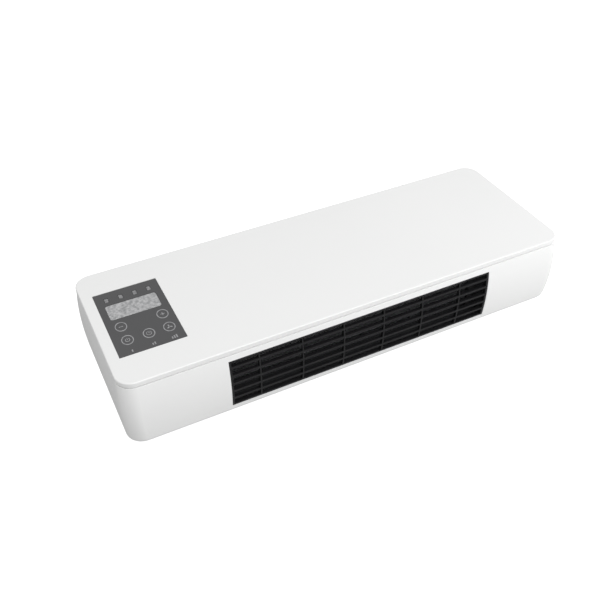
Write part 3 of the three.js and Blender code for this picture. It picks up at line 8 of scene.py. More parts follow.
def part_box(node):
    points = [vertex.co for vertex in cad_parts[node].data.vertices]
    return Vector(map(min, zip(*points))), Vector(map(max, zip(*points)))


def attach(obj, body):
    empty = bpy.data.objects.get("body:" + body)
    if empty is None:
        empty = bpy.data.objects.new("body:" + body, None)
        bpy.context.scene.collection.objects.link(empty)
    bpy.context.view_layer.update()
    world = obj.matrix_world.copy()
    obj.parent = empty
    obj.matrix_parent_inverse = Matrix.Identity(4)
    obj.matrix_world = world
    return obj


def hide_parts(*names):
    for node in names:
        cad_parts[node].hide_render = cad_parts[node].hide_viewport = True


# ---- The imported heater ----
# It lies on its back, as in the photograph: +Z is the front panel, -Y the air outlet,
# -X the end with the controls. Its own box is kept before anything is added.
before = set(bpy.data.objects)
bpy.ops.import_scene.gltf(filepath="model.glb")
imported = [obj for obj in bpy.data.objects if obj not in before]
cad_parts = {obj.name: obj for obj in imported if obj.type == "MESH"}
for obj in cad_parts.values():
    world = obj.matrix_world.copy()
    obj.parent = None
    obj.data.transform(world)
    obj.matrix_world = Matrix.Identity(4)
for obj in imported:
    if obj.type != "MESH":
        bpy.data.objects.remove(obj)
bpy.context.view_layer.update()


# ---- Camera ----
# It looks down at the outlet side from the control panel's end, from about a metre away, and
# is rolled a little.
LOOK_AT = Vector((-0.012, 0.040, 0.0))
CAMERA_AWAY = 0.978
FOCAL_LENGTH, SENSOR_WIDTH = 46.68, 36.0
camera_turn = math.radians(-25.7)
camera_rise = math.radians(40.7)
camera_roll = math.radians(-0.81)
back = Vector((
    math.sin(camera_turn) * math.cos(camera_rise),
    -math.cos(camera_turn) * math.cos(camera_rise),
    math.sin(camera_rise),
))
level_right = (-back).cross(Vector((0, 0, 1))).normalized()
level_up = level_right.cross(-back)
right = level_right * math.cos(camera_roll) + level_up * math.sin(camera_roll)
up = level_up * math.cos(camera_roll) - level_right * math.sin(camera_roll)
lens = bpy.data.cameras.new("camera")
lens.lens = FOCAL_LENGTH
lens.sensor_width = SENSOR_WIDTH
lens.clip_end = 30
camera = bpy.data.objects.new("camera", lens)
bpy.context.scene.collection.objects.link(camera)
camera.matrix_world = (
    Matrix.Translation(LOOK_AT + back * CAMERA_AWAY)
    @ Matrix((right, up, back)).transposed().to_4x4()
)
bpy.context.scene.camera = camera


# ---- Shared finish: a moulded surface ----
# What nearly every piece shows from near: slow drifts of tone, patches that are a little
# shinier, and the fine grain that its tool left.
def node_group(name, takes, gives):
    """An empty group with its sockets; gives the group, what it takes and what it gives."""
    group = bpy.data.node_groups.new(name, "ShaderNodeTree")
    for label, kind, value in takes:
        socket = group.interface.new_socket(label, in_out="INPUT", socket_type=kind)
        if value is not None:
            socket.default_value = value
    for label, kind in gives:
        group.interface.new_socket(label, in_out="OUTPUT", socket_type=kind)
    tree = group.nodes
    return group, tree.new("NodeGroupInput").outputs, tree.new("NodeGroupOutput").inputs


def added(tree, kind, gives, takes, **settings):
    """Adds a node, fills its sockets with values or with other sockets, and gives an output."""
    node = tree.nodes.new(f"ShaderNode{kind}")
    for label, value in settings.items():
        setattr(node, label, value)
    for label, value in takes.items():
        if isinstance(value, bpy.types.NodeSocket):
            tree.links.new(value, node.inputs[label])
        else:
            node.inputs[label].default_value = value
    return node.outputs[gives]


def noise(tree, vector, scale, detail=2.0):
    return added(tree, "TexNoise", "Fac", {"Vector": vector, "Scale": scale, "Detail": detail})


def ramp(tree, value, low, high):
    """Stretches a value, so that it runs from 0 at low to 1 at high."""
    return added(tree, "MapRange", "Result", {"Value": value, "From Min": low, "From Max": high})


def mixed(tree, share, first, second):
    """A colour between two, each a colour or a socket."""
    takes = {"Factor": share, "A": first, "B": second}
    return added(tree, "Mix", "Result", takes, data_type="RGBA")


def maths(tree, operation, first, second):
    return added(tree, "Math", "Value", {0: first, 1: second}, operation=operation)


moulded_surface, given, made = node_group(
    "moulded_surface",
    (
        ("Vector", "NodeSocketVector", None),
        ("Colour", "NodeSocketColor", (0.8, 0.8, 0.8, 1)),
        ("Deep Colour", "NodeSocketColor", (0.7, 0.7, 0.7, 1)),
        ("Drift", "NodeSocketFloat", 6.0),
        ("Roughness", "NodeSocketFloat", 0.4),
        ("Spread", "NodeSocketFloat", 0.08),
        ("Grain", "NodeSocketFloat", 1500.0),
        ("Grain Depth", "NodeSocketFloat", 0.1),
    ),
    (
        ("Colour", "NodeSocketColor"),
        ("Roughness", "NodeSocketFloat"),
        ("Normal", "NodeSocketVector"),
    ),
)
PATCH_SCALE = 37.0
drift = noise(moulded_surface, given["Vector"], given["Drift"], 3.0)
tone = ramp(moulded_surface, drift, 0.35, 0.7)
shine = noise(moulded_surface, given["Vector"], PATCH_SCALE, 3.0)
patches = maths(moulded_surface, "SUBTRACT", shine, 0.5)
patches = maths(moulded_surface, "MULTIPLY", patches, given["Spread"])
grain = noise(moulded_surface, given["Vector"], given["Grain"], 1.0)
bump = {"Height": grain, "Strength": given["Grain Depth"], "Distance": 0.0001}
for label, result in (
    ("Colour", mixed(moulded_surface, tone, given["Colour"], given["Deep Colour"])),
    ("Roughness", maths(moulded_surface, "ADD", given["Roughness"], patches)),
    ("Normal", added(moulded_surface, "Bump", "Normal", bump)),
):
    moulded_surface.links.new(result, made[label])


def bare_material(name, **shader_values):
    """A material with the shader's plain values set, and its Object coordinates."""
    material = bpy.data.materials.new(name)
    material.use_nodes = True
    tree = material.node_tree
    shader = tree.nodes["Principled BSDF"]
    for label, value in shader_values.items():
        shader.inputs[label.replace("_", " ")].default_value = value
    return material, tree, shader, added(tree, "TexCoord", "Object", {})


def moulded(name, colour, deep, roughness, spread=0.08, grain=1500.0, depth=0.1, drift=6.0,
            stretch=None, **shader_values):
    """A material with the shared finish: its two tones, its shine and its grain."""
    material, tree, shader, place = bare_material(name, **shader_values)
    if stretch:
        place = added(tree, "Mapping", "Vector", {"Vector": place, "Scale": stretch})
    takes = {
        "Vector": place, "Colour": (*colour, 1), "Deep Colour": (*deep, 1), "Drift": drift,
        "Roughness": roughness, "Spread": spread, "Grain": grain, "Grain Depth": depth,
    }
    finish = added(tree, "Group", "Colour", takes, node_tree=moulded_surface).node
    for output, socket in zip(finish.outputs, ("Base Color", "Roughness", "Normal")):
        tree.links.new(output, shader.inputs[socket])
    return material


# ---- Floor and light ----
# A plain pale floor and soft studio light: an even sky, a large slanting panel over the
# outlet side, a high one for the front panel and weak ones from the right and the left. The
# floor looks nearly white, and from below it is clear, so that the heater's back shows.
FLOOR_REACH = 12.0
FLOOR_DROP = 0.0002


def moved(bm, by, turn=0):
    """Turns a bmesh about Z by degrees, and then moves it."""
    bmesh.ops.rotate(bm, matrix=Matrix.Rotation(math.radians(turn), 3, "Z"), verts=bm.verts)
    bmesh.ops.translate(bm, vec=by, verts=bm.verts)


floor_mesh = bmesh.new()
bmesh.ops.create_grid(floor_mesh, x_segments=1, y_segments=1, size=FLOOR_REACH)
moved(floor_mesh, (0, 0, -FLOOR_DROP))
floor_data = bpy.data.meshes.new("floor")
floor_mesh.to_mesh(floor_data)
floor_mesh.free()
floor = bpy.data.objects.new("floor", floor_data)
bpy.context.scene.collection.objects.link(floor)
floor_paint = moulded("floor_paint", (0.32, 0.32, 0.32), (0.31, 0.31, 0.31), 0.8, grain=200.0)
floor_tree = floor_paint.node_tree
plain_floor = floor_tree.nodes["Principled BSDF"]
bright_paint = {"Base Color": (0.55, 0.55, 0.55, 1), "Roughness": 0.8}
bright_floor = added(floor_tree, "BsdfPrincipled", "BSDF", bright_paint).node
for shader, glow in ((plain_floor, 0.18), (bright_floor, 0.86)):
    shader.inputs["Emission Color"].default_value = (1, 1, 1, 1)
    shader.inputs["Emission Strength"].default_value = glow


def chosen(tree, switch, off, on):
    """One of two shaders, by a socket that is 0 or 1."""
    return added(tree, "MixShader", "Shader", {"Fac": switch, 1: off, 2: on})


seen_floor = chosen(
    floor_tree, added(floor_tree, "LightPath", "Is Camera Ray", {}),
    plain_floor.outputs["BSDF"], bright_floor.outputs["BSDF"],
)
from_below = chosen(
    floor_tree, added(floor_tree, "NewGeometry", "Backfacing", {}),
    seen_floor, added(floor_tree, "BsdfTransparent", "BSDF", {}),
)
floor_tree.links.new(from_below, floor_tree.nodes["Material Output"].inputs["Surface"])
floor_paint.cycles.emission_sampling = "NONE"
floor.data.materials.append(floor_paint)


def soft_panel(name, place, aim, size, power):
    """A rectangular lamp that points at a place; its power is in watts."""
    light = bpy.data.lights.new(name, "AREA")
    light.shape = "RECTANGLE"
    light.size, light.size_y = size
    light.energy = power
    lamp = bpy.data.objects.new(name, light)
    bpy.context.scene.collection.objects.link(lamp)
    lamp.location = place
    lamp.rotation_euler = (Vector(aim) - Vector(place)).to_track_quat("-Z", "Y").to_euler()


soft_panel("high_light", (-0.9, -0.45, 6.0), (0, 0, 0), (2.2, 3.0), 80)
soft_panel("front_light", (0.7, -2.5, 2.5), (0.05, 0, 0.05), (4.2, 2.6), 66)
soft_panel("right_light", (0.85, -0.62, 0.4), (0.25, -0.09, 0.05), (0.4, 0.35), 3.0)
soft_panel("left_light", (-3.0, 0.2, 1.4), (-0.2, 0, 0.05), (2.0, 1.4), 1.5)
sky = bpy.data.worlds.new("sky")
sky.use_nodes = True
sky_tree = sky.node_tree
lit_sky = sky_tree.nodes["Background"]
shown_sky = added(sky_tree, "Background", "Background", {}).node
for shader, strength in ((lit_sky, 0.5), (shown_sky, 1.0)):
    shader.inputs["Color"].default_value = (1, 1, 1, 1)
    shader.inputs["Strength"].default_value = strength
sky_seen = chosen(
    sky_tree, added(sky_tree, "LightPath", "Is Camera Ray", {}),
    lit_sky.outputs["Background"], shown_sky.outputs["Background"],
)
sky_tree.links.new(sky_seen, sky_tree.nodes["World Output"].inputs["Surface"])
bpy.context.scene.world = sky
bpy.context.scene.view_settings.view_transform = "Standard"


# ---- Front panel ----
# White satin ABS moulding: a flat rounded plate on a set-back lip, hollow below, with a
# sunk seat for the controls. Eight hooks under it snap behind the casing's flange.
HALF_X, HALF_Y = 270.0, 92.5
PLAN_ROUND = 18.5
PANEL_LOW, PANEL_TOP = 84.2, 90.0
LIP_LOW = 82.9
LINE_DEPTH = 1.0
OVERLAY_X = (-257.0, -185.5)
OVERLAY_Y = (-53.0, 53.0)
WINDOW_AT = (-221.25, 18.2)
LENS_XS = (-244.95, -229.15, -213.35, -197.55)
LENS_AT_Y = 40.0


def rounded_outline(half_x, half_y, plan_round, low, steps):
    """A flat face with rounded corners, in millimetres."""
    bm = bmesh.new()
    bmesh.ops.create_grid(bm, x_segments=1, y_segments=1, size=1.0)
    bmesh.ops.scale(bm, vec=(half_x, half_y, 1), verts=bm.verts)
    moved(bm, (0, 0, low))
    bmesh.ops.bevel(
        bm, geom=bm.verts[:], offset=plan_round, offset_type="OFFSET", segments=steps,
        profile=0.5, affect="VERTICES", material=-1,
    )
    return bm, next(iter(bm.faces))


def rounded_slab(half_x, half_y, plan_round, low, high, steps=16):
    """A plate with rounded corners between two heights, in millimetres."""
    bm, face = rounded_outline(half_x, half_y, plan_round, low, steps)
    raise_face(bm, face, high - low)
    bmesh.ops.recalc_face_normals(bm, faces=bm.faces)
    return bm


def raise_face(bm, face, height, axis=2):
    """Extrudes a face along an axis and gives the new one."""
    made = bmesh.ops.extrude_face_region(bm, geom=[face, *face.edges])["geom"]
    step = [0, 0, 0]
    step[axis] = height
    bmesh.ops.translate(bm, vec=step, verts=[g for g in made if isinstance(g, bmesh.types.BMVert)])
    return next(g for g in made if isinstance(g, bmesh.types.BMFace))


def block(x, y, z):
    """A plain block between pairs of limits, in millimetres."""
    bm = bmesh.new()
    bmesh.ops.create_cube(bm, size=1.0)
    bmesh.ops.scale(bm, vec=(x[1] - x[0], y[1] - y[0], z[1] - z[0]), verts=bm.verts)
    middle = ((x[0] + x[1]) / 2, (y[0] + y[1]) / 2, (z[0] + z[1]) / 2)
    moved(bm, middle)
    return bm


def pad(x, y, half_x, half_y, z):
    """A block about a middle, between a pair of heights, in millimetres."""
    return block((x - half_x, x + half_x), (y - half_y, y + half_y), z)


ALONG_X = Matrix(((0, 0, 1), (1, 0, 0), (0, 1, 0)))


def rod(radius, low, high, at, axis="Z", sides=32):
    """A round bar along Z or X; at gives its place across that axis, in millimetres."""
    bm = bmesh.new()
    bmesh.ops.create_cone(
        bm, cap_ends=True, segments=sides, radius1=radius, radius2=radius, depth=high - low
    )
    moved(bm, (0, 0, (low + high) / 2))
    if axis == "X":
        bmesh.ops.rotate(bm, matrix=ALONG_X, verts=bm.verts)
        moved(bm, (0, *at))
    else:
        moved(bm, (*at, 0))
    return bm


def round_edges(bm, wanted, width, segments=3):
    """Rounds the edges that a test picks, in the mesh itself."""
    edges = [edge for edge in bm.edges if wanted(edge)]
    bmesh.ops.bevel(
        bm, geom=edges, offset=width, offset_type="OFFSET", segments=segments, profile=0.5,
        affect="EDGES", material=-1, clamp_overlap=True,
    )


def sharp_edge(edge, degrees=30):
    return len(edge.link_faces) == 2 and edge.calc_face_angle(0) > math.radians(degrees)


def edge_at(height):
    """A test for the edges that lie at a height."""
    return lambda edge: all(abs(v.co.z - height) < 1e-3 for v in edge.verts)


def together(*parts):
    """One bmesh that holds several."""
    whole = bmesh.new()
    for part in parts:
        mesh = bpy.data.meshes.new("part")
        part.to_mesh(mesh)
        part.free()
        whole.from_mesh(mesh)
        bpy.data.meshes.remove(mesh)
    return whole


def as_piece(name, bm):
    """Turns a bmesh in millimetres into an object in metres."""
    bmesh.ops.scale(bm, vec=(0.001, 0.001, 0.001), verts=bm.verts)
    bmesh.ops.recalc_face_normals(bm, faces=bm.faces)
    mesh = bpy.data.meshes.new(name)
    bm.to_mesh(mesh)
    bm.free()
    piece = bpy.data.objects.new(name, mesh)
    bpy.context.scene.collection.objects.link(piece)
    return piece


def carved(piece, *cuts):
    """Applies (operation, bmesh) pairs to a piece, in order."""
    tools = []
    for number, (operation, bm) in enumerate(cuts):
        tool = as_piece(f"tool_{number}", bm)
        tools.append(tool)
        step = piece.modifiers.new(f"cut_{number}", "BOOLEAN")
        step.operation = operation
        step.solver = "EXACT"
        step.object = tool
    graph = bpy.context.evaluated_depsgraph_get()
    mesh = bpy.data.meshes.new_from_object(piece.evaluated_get(graph))
    plain = piece.data
    piece.modifiers.clear()
    piece.data = mesh
    bpy.data.meshes.remove(plain)
    for tool in tools:
        data = tool.data
        bpy.data.objects.remove(tool)
        bpy.data.meshes.remove(data)
    return piece


def smooth(piece, degrees=28):
    """Smooth shading up to an angle, with the large faces kept flat."""
    mesh = piece.data
    mesh.polygons.foreach_set("use_smooth", [True] * len(mesh.polygons))
    mesh.set_sharp_from_angle(angle=math.radians(degrees))
    shade = piece.modifiers.new("shading", "WEIGHTED_NORMAL")
    shade.keep_sharp = True
    shade.weight = 100
    return piece


def dressed(piece, material, slot, *nodes, body="heater_body"):
    """Gives a piece its material, the body that carries it and the nodes it stands for."""
    piece.data.materials.clear()
    piece.data.materials.append(material)
    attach(piece, body)
    if nodes:
        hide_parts(*nodes)
    return piece


white_plastic = moulded(
    "white_plastic", (0.83, 0.832, 0.828), (0.815, 0.818, 0.815), 0.42, spread=0.10,
    grain=2200.0, depth=0.06, drift=4.0, Specular_IOR_Level=0.35,
)
TOP_ROUND, LOW_ROUND = 1.4, 0.35
LIP_WALL = 2.5
PANEL_INSIDE = 87.5
panel = rounded_slab(HALF_X, HALF_Y, PLAN_ROUND, PANEL_LOW, PANEL_TOP, 20)
round_edges(panel, edge_at(PANEL_TOP), TOP_ROUND, 7)
round_edges(panel, edge_at(PANEL_LOW), LOW_ROUND, 2)
panel.normal_update()
under = max((f for f in panel.faces if f.normal.z < -0.9), key=lambda f: f.calc_area())
bmesh.ops.inset_region(
    panel, faces=[under], thickness=LINE_DEPTH - LOW_ROUND, use_even_offset=True
)
under = raise_face(panel, under, LIP_LOW - PANEL_LOW)
bmesh.ops.inset_region(panel, faces=[under], thickness=LIP_WALL, use_even_offset=True)
raise_face(panel, under, PANEL_INSIDE - LIP_LOW)
front_panel = as_piece("front_panel_moulding", panel)
HOOK_AT = {"X": 257.7, "Y": 80.2}
HOOK_WALL, HOOK_NOSE, HOOK_HALF = 2.0, 4.0, 7.0
HOOK_LOW, HOOK_TOP, NOSE_TOP = 77.8, 88.5, 79.8


def hook_pair(side, along):
    """Two snap hooks facing each other across the panel, along X or along Y."""
    width = (side - HOOK_HALF, side + HOOK_HALF)
    hooks = []
    for sign in (-1, 1):
        for reach, top in ((HOOK_WALL, HOOK_TOP), (HOOK_NOSE, NOSE_TOP)):
            across = sorted((sign * HOOK_AT[along], sign * (HOOK_AT[along] + reach)))
            plan = (across, width) if along == "X" else (width, across)
            hooks.append(block(*plan, (HOOK_LOW, top)))
    return hooks


seat_pad = block((-261, -181.5), (-57, 57), (85.35, 88.3))
round_edges(seat_pad, sharp_edge, 0.6, 2)
PEG_STEPS = ((3.0, 75.9), (1.2, 72.5))
pegs = [
    rod(radius, low, 86, (x, y), sides=24)
    for x in (-252.0, -190.5)
    for y in (-47, 47)
    for radius, low in PEG_STEPS
]
hooks = [*hook_pair(-45, "X"), *hook_pair(45, "X"), *hook_pair(-215, "Y"), *hook_pair(215, "Y")]
window_cut = rounded_slab(26.25, 10.25, 2.5, 84, 91, 5)
moved(window_cut, (*WINDOW_AT, 0))


def light_openings(low):
    """The four openings for the indicator lights, from a height up."""
    return together(*(pad(x, LENS_AT_Y, 2.5, 3.5, (low, 91)) for x in LENS_XS))


SEAT_GAP, SEAT_FLOOR = 0.3, 88.35
seat = block(
    (OVERLAY_X[0] - SEAT_GAP, OVERLAY_X[1] + SEAT_GAP),
    (OVERLAY_Y[0] - SEAT_GAP, OVERLAY_Y[1] + SEAT_GAP), (SEAT_FLOOR, 91),
)
carved(
    front_panel,
    ("UNION", seat_pad),
    *(("UNION", hook) for hook in hooks),
    *(("UNION", peg) for peg in pegs),
    ("DIFFERENCE", seat),
    ("DIFFERENCE", window_cut),
    ("DIFFERENCE", light_openings(84)),
)
dressed(smooth(front_panel), white_plastic, "body_white", "front_panel")


# ---- Casing ----
# One white moulding: sides that swell between the recessed line and the rounded back edge,
# with the outlet and intake openings, the filter's collar, and two recesses in the right end.
CASE_TOP = 82.6
CASE_WALL = 2.5
BACK_ROUND = 6.0
END_SWELL, SIDE_SWELL = 2.2, 4.0
OPENING_X = (-158.0, 166.0)
OPENING_Z = (11.0, 76.0)


def case_swell(z):
    """How far the ends and the sides stand out from the panel's outline at a height."""
    swell = 1 - (2 * z / CASE_TOP - 1) ** 2
    below = max(BACK_ROUND - z, 0)
    drop = BACK_ROUND - math.sqrt(max(BACK_ROUND ** 2 - below ** 2, 0))
    return END_SWELL * swell - drop, SIDE_SWELL * swell - drop


def case_heights(low, high, back_steps=7, side_steps=30):
    """The heights that the casing's curve is drawn through, finer round its back edge."""
    back = [
        BACK_ROUND * (1 - math.cos(i * math.pi / 2 / back_steps)) for i in range(1, back_steps)
    ]
    side = [BACK_ROUND + (CASE_TOP - BACK_ROUND) * i / side_steps for i in range(side_steps)]
    return [low, *(z for z in back + side if low + 0.3 < z < high - 0.3), high]


def case_form(inset, low, high):
    """The casing's barrel between two heights, drawn in by a wall."""
    half_x, half_y = HALF_X - inset, HALF_Y - inset
    bm, top = rounded_outline(half_x, half_y, PLAN_ROUND - inset, low, 20)
    heights = case_heights(low, high)
    was_x, was_y = half_x, half_y
    for before, height in zip([low, *heights], heights):
        if height > before:
            top = raise_face(bm, top, height - before)
        ends, sides = case_swell(height)
        now_x, now_y = half_x + ends, half_y + sides
        bmesh.ops.scale(bm, vec=(now_x / was_x, now_y / was_y, 1), verts=top.verts)
        was_x, was_y = now_x, now_y
    return bm


def drawn_in(inset, low, high):
    """The panel's outline, drawn in, between two heights."""
    plan_round = max(PLAN_ROUND - inset, 2)
    return rounded_slab(HALF_X - inset, HALF_Y - inset, plan_round, low, high, 20)


barrel = case_form(0, 0, CASE_TOP)
round_edges(barrel, edge_at(CASE_TOP), 0.5, 3)
casing = as_piece("casing_moulding", barrel)
collar = block((-160, 168), (83, 92.5), (9, 78))
collar_throat = block((-156, 164), (80, 92.6), (13, 74))
switch_pad = block((264.5, 269), (46.5, 85.5), (23.5, 66.5))
inlet_pad = block((264.5, 269), (-73, -47), (9, 35))
cover_seat, cover_opening = drawn_in(9, -1, 2.7), drawn_in(19, -1, 5.3)
panel_opening = drawn_in(10, 79, 84)
boss_places = [(x, y) for x in (-252, 252) for y in (-78, 78)]
screw_bosses = [rod(3.5, 2.7, 15.7, place, sides=24) for place in boss_places]
screw_bores = [rod(1.5, 1.7, 14.1, place, sides=16) for place in boss_places]
outlet = block(OPENING_X, (-101, -87), OPENING_Z)
intake = block(OPENING_X, (85, 101), OPENING_Z)
switch_recess = block((267, 275), (49, 83), (26, 64))
switch_hole = block((240, 271), (54.7, 77.3), (30.7, 59.3))
inlet_recess = block((267, 275), (-70.5, -49.5), (11.5, 32.5))
inlet_hole = rod(6.3, 263.5, 268, (-60, 22), "X")
carved(
    casing,
    ("DIFFERENCE", case_form(CASE_WALL, 5.2, 80.1)),
    ("UNION", collar),
    ("DIFFERENCE", collar_throat),
    ("UNION", switch_pad),
    ("UNION", inlet_pad),
    *(("UNION", boss) for boss in screw_bosses),
    ("DIFFERENCE", panel_opening),
    ("DIFFERENCE", cover_seat),
    ("DIFFERENCE", cover_opening),
    ("DIFFERENCE", together(*screw_bores)),
    *(
        ("DIFFERENCE", cut)
        for cut in (outlet, intake, switch_recess, switch_hole, inlet_recess, inlet_hole)
    ),
)
dressed(smooth(casing, 22), white_plastic, "body_white", "main_casing")


# ---- Outlet grille ----
# Black heat-resistant moulding that clips into the outlet: a frame, five long bars and six
# thin ribs, all following the casing's swell.
grille_plastic = moulded(
    "grille_plastic", (0.010, 0.010, 0.011), (0.007, 0.007, 0.008), 0.5, spread=0.16,
    grain=2600.0, depth=0.10, drift=9.0, Specular_IOR_Level=0.3,
)
GRILLE_X = (-157.7, 165.7)
FRAME_SIDE = 2.4
RIB_HALF, BAR_HALF = 0.8, 1.3
BAR_ZS = (22.7, 33.6, 44.5, 55.4, 66.3)
RIB_XS = (-124.0, -74.0, -24.0, 26.0, 76.0, 126.0)


def rounded_off(piece, width, segments=2, degrees=35):
    """Small rounded edges, live on the piece."""
    edge = piece.modifiers.new("edges", "BEVEL")
    edge.width = width * 0.001
    edge.segments = segments
    edge.limit_method = "ANGLE"
    edge.angle_limit = math.radians(degrees)
    edge.use_clamp_overlap = True
    edge.miter_outer = "MITER_ARC"
    return piece


grille = as_piece("outlet_grille_moulding", case_form(0.4, 11.3, 75.7))
cells_x = [GRILLE_X[0] + FRAME_SIDE, *RIB_XS, GRILLE_X[1] - FRAME_SIDE]
cells_z = [13.4, *BAR_ZS, 73.3]
openings = []
for left, next_left in zip(cells_x, cells_x[1:]):
    x = (
        left + (RIB_HALF if left in RIB_XS else 0),
        next_left - (RIB_HALF if next_left in RIB_XS else 0),
    )
    for low, next_low in zip(cells_z, cells_z[1:]):
        z = (
            low + (BAR_HALF if low in BAR_ZS else 0),
            next_low - (BAR_HALF if next_low in BAR_ZS else 0),
        )
        openings.append(block(x, (-101, -86), z))
carved(
    grille,
    ("INTERSECT", block(GRILLE_X, (-101, -86), (11, 76))),
    ("DIFFERENCE", case_form(4.4, 10, 77)),
    ("DIFFERENCE", together(*openings)),
)
rounded_off(grille, 0.35, 2)
dressed(smooth(grille), grille_plastic, "grille_black", "outlet_grille")


# ---- Control panel ----
# A dark grey plastic film, glued into its seat, with a rounded opening for the display and
# four small ones for the lights.
film = moulded(
    "control_film", (0.080, 0.080, 0.082), (0.074, 0.074, 0.076), 0.36, spread=0.10,
    grain=3000.0, depth=0.03, drift=14.0,
)
FILM_LOW, FILM_TOP = 88.65, 89.85


def upright(edge):
    return abs(edge.verts[0].co.z - edge.verts[1].co.z) > 1


overlay = block(OVERLAY_X, OVERLAY_Y, (FILM_LOW, FILM_TOP))
round_edges(overlay, upright, 0.8, 4)
round_edges(overlay, edge_at(FILM_TOP), 0.25, 2)
overlay_piece = as_piece("control_film", overlay)
film_window = rounded_slab(28.55, 12.55, 2.8, 88, 91, 6)
moved(film_window, (*WINDOW_AT, 0))
carved(overlay_piece, ("DIFFERENCE", film_window), ("DIFFERENCE", light_openings(88)))
dressed(smooth(overlay_piece), film, "overlay_grey", "control_overlay")


# ---- Display window ----
# A light grey translucent plate with a polished edge, pressed into the film's opening. Its
# diffuser shows through as a fine mottling.
window_glass = moulded(
    "window_glass", (0.49, 0.49, 0.495), (0.25, 0.255, 0.26), 0.3, spread=0.2, grain=700.0,
    depth=0.35, drift=330.0,
)


def limits(node):
    """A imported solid's lowest and highest corner, in millimetres."""
    return [[v * 1000 for v in corner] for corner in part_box(node)]


window_low, window_high = limits("display_window")
window = rounded_slab(
    (window_high[0] - window_low[0]) / 2, (window_high[1] - window_low[1]) / 2, 2.5,
    window_low[2], window_high[2], 6,
)
round_edges(window, edge_at(window_high[2]), 0.5, 3)
moved(window, (*WINDOW_AT, 0))
window_piece = as_piece("window_plate", window)
dressed(smooth(window_piece), window_glass, "display_grey", "display_window")


# ---- Indicator lights ----
# Four light pipes of smoked clear plastic with softly rounded tops, pressed into the panel
# over their lamps.
light_pipe = moulded(
    "light_pipe", (0.30, 0.30, 0.305), (0.13, 0.13, 0.135), 0.3, grain=900.0, depth=0.2,
    drift=500.0,
)
for number in range(1, 5):
    low, high = limits(f"indicator_lens_{number}")
    pipe = block(*zip(low, high))
    round_edges(pipe, upright, 0.8, 3)
    round_edges(pipe, edge_at(high[2]), 0.6, 3)
    pipe_piece = as_piece(f"light_pipe_{number}", pipe)
    dressed(smooth(pipe_piece), light_pipe, "lens_clear", f"indicator_lens_{number}")


# ---- Printing on the film ----
# Five key rings with plain signs (less, more, on, time, fan) and three groups of small bars
# under them, screen-printed in light grey, a few hundredths of a millimetre thick.
key_print = moulded(
    "key_print", (0.38, 0.38, 0.39), (0.24, 0.24, 0.25), 0.45, grain=4000.0, depth=0.05,
    drift=300.0,
)
KEYS = ((-242.6, -8.0), (-197.3, -8.0), (-242.2, -30.4), (-219.3, -30.4), (-197.3, -30.4))
INK_LOW, INK_HIGH = 89.85, 89.91


def flat_ring(x, y, outer, inner, sides=48, stretch=1.0, gap=0.0):
    """A printed ring, stretched along Y, and open at the top by a gap in degrees."""
    bm = bmesh.new()
    bmesh.ops.create_circle(bm, cap_ends=True, segments=sides, radius=outer)
    middle = next(iter(bm.faces))
    bmesh.ops.inset_region(bm, faces=[middle], thickness=outer - inner, use_boundary=True)
    left_out = [middle]
    if gap:
        left_out += [
            f for f in bm.faces
            if f is not middle
            and abs(math.degrees(math.atan2(f.calc_center_median().x, f.calc_center_median().y)))
            < gap / 2
        ]
    bmesh.ops.delete(bm, geom=left_out, context="FACES")
    bmesh.ops.solidify(bm, geom=bm.faces[:], thickness=INK_HIGH - INK_LOW)
    bmesh.ops.scale(bm, vec=(1, stretch, 1), verts=bm.verts)
    lift = INK_LOW - min(v.co.z for v in bm.verts)
    moved(bm, (x, y, lift))
    return bm


def ink_bar(x, y, length, width, turn=0.0):
    """A printed bar about a middle, turned by degrees from +X."""
    bm = pad(0, 0, length / 2, width / 2, (INK_LOW, INK_HIGH))
    moved(bm, (x, y, 0), turn)
    return bm


def fan_blade(x, y, turn):
    """One leaf of the fan sign: a small oval beside the middle."""
    bm = bmesh.new()
    bmesh.ops.create_cone(
        bm, cap_ends=True, segments=16, radius1=1.0, radius2=1.0, depth=INK_HIGH - INK_LOW
    )
    bmesh.ops.scale(bm, vec=(1.5, 0.75, 1), verts=bm.verts)
    moved(bm, (1.9, 0.35, (INK_LOW + INK_HIGH) / 2))
    moved(bm, (x, y, 0), turn)
    return bm


less, more, power, clock, fan = KEYS
SIGN_LENGTH, SIGN_STROKE = 4.6, 0.9
signs = [
    ink_bar(*less, SIGN_LENGTH, SIGN_STROKE),
    ink_bar(*more, SIGN_LENGTH, SIGN_STROKE),
    *(ink_bar(more[0], more[1] + lift, 1.9, SIGN_STROKE, 90) for lift in (1.4, -1.4)),
    flat_ring(*power, 2.7, 2.0, 32, gap=70),
    ink_bar(power[0], power[1] + 1.7, 3.0, 0.7, 90),
    flat_ring(*clock, 3.0, 2.4, 32),
    ink_bar(clock[0], clock[1] + 0.85, 1.7, 0.6, 90),
    ink_bar(clock[0] + 0.95, clock[1] - 0.25, 1.5, 0.6, -20),
    *(fan_blade(*fan, turn) for turn in (90, 210, 330)),
]
LEVEL_PITCH, LEVEL_Y, LEVEL_WIDTH = 2.4, -47.9, 1.3
level_bars = [
    ink_bar(
        x + LEVEL_PITCH * (step - (count - 1) / 2), LEVEL_Y + 0.4 * step, 3.2 + 0.8 * step,
        LEVEL_WIDTH, 90,
    )
    for count, x in enumerate((power[0], clock[0], fan[0]), 1)
    for step in range(count)
]
KEY_OUTER, KEY_INNER, KEY_STRETCH = 6.3, 5.4, 1.17
rings = [flat_ring(x, y, KEY_OUTER, KEY_INNER, stretch=KEY_STRETCH) for x, y in KEYS]
for name, marks in (("key_rings", rings), ("key_signs", signs), ("level_marks", level_bars)):
    dressed(as_piece(name, together(*marks)), key_print, "display_grey")


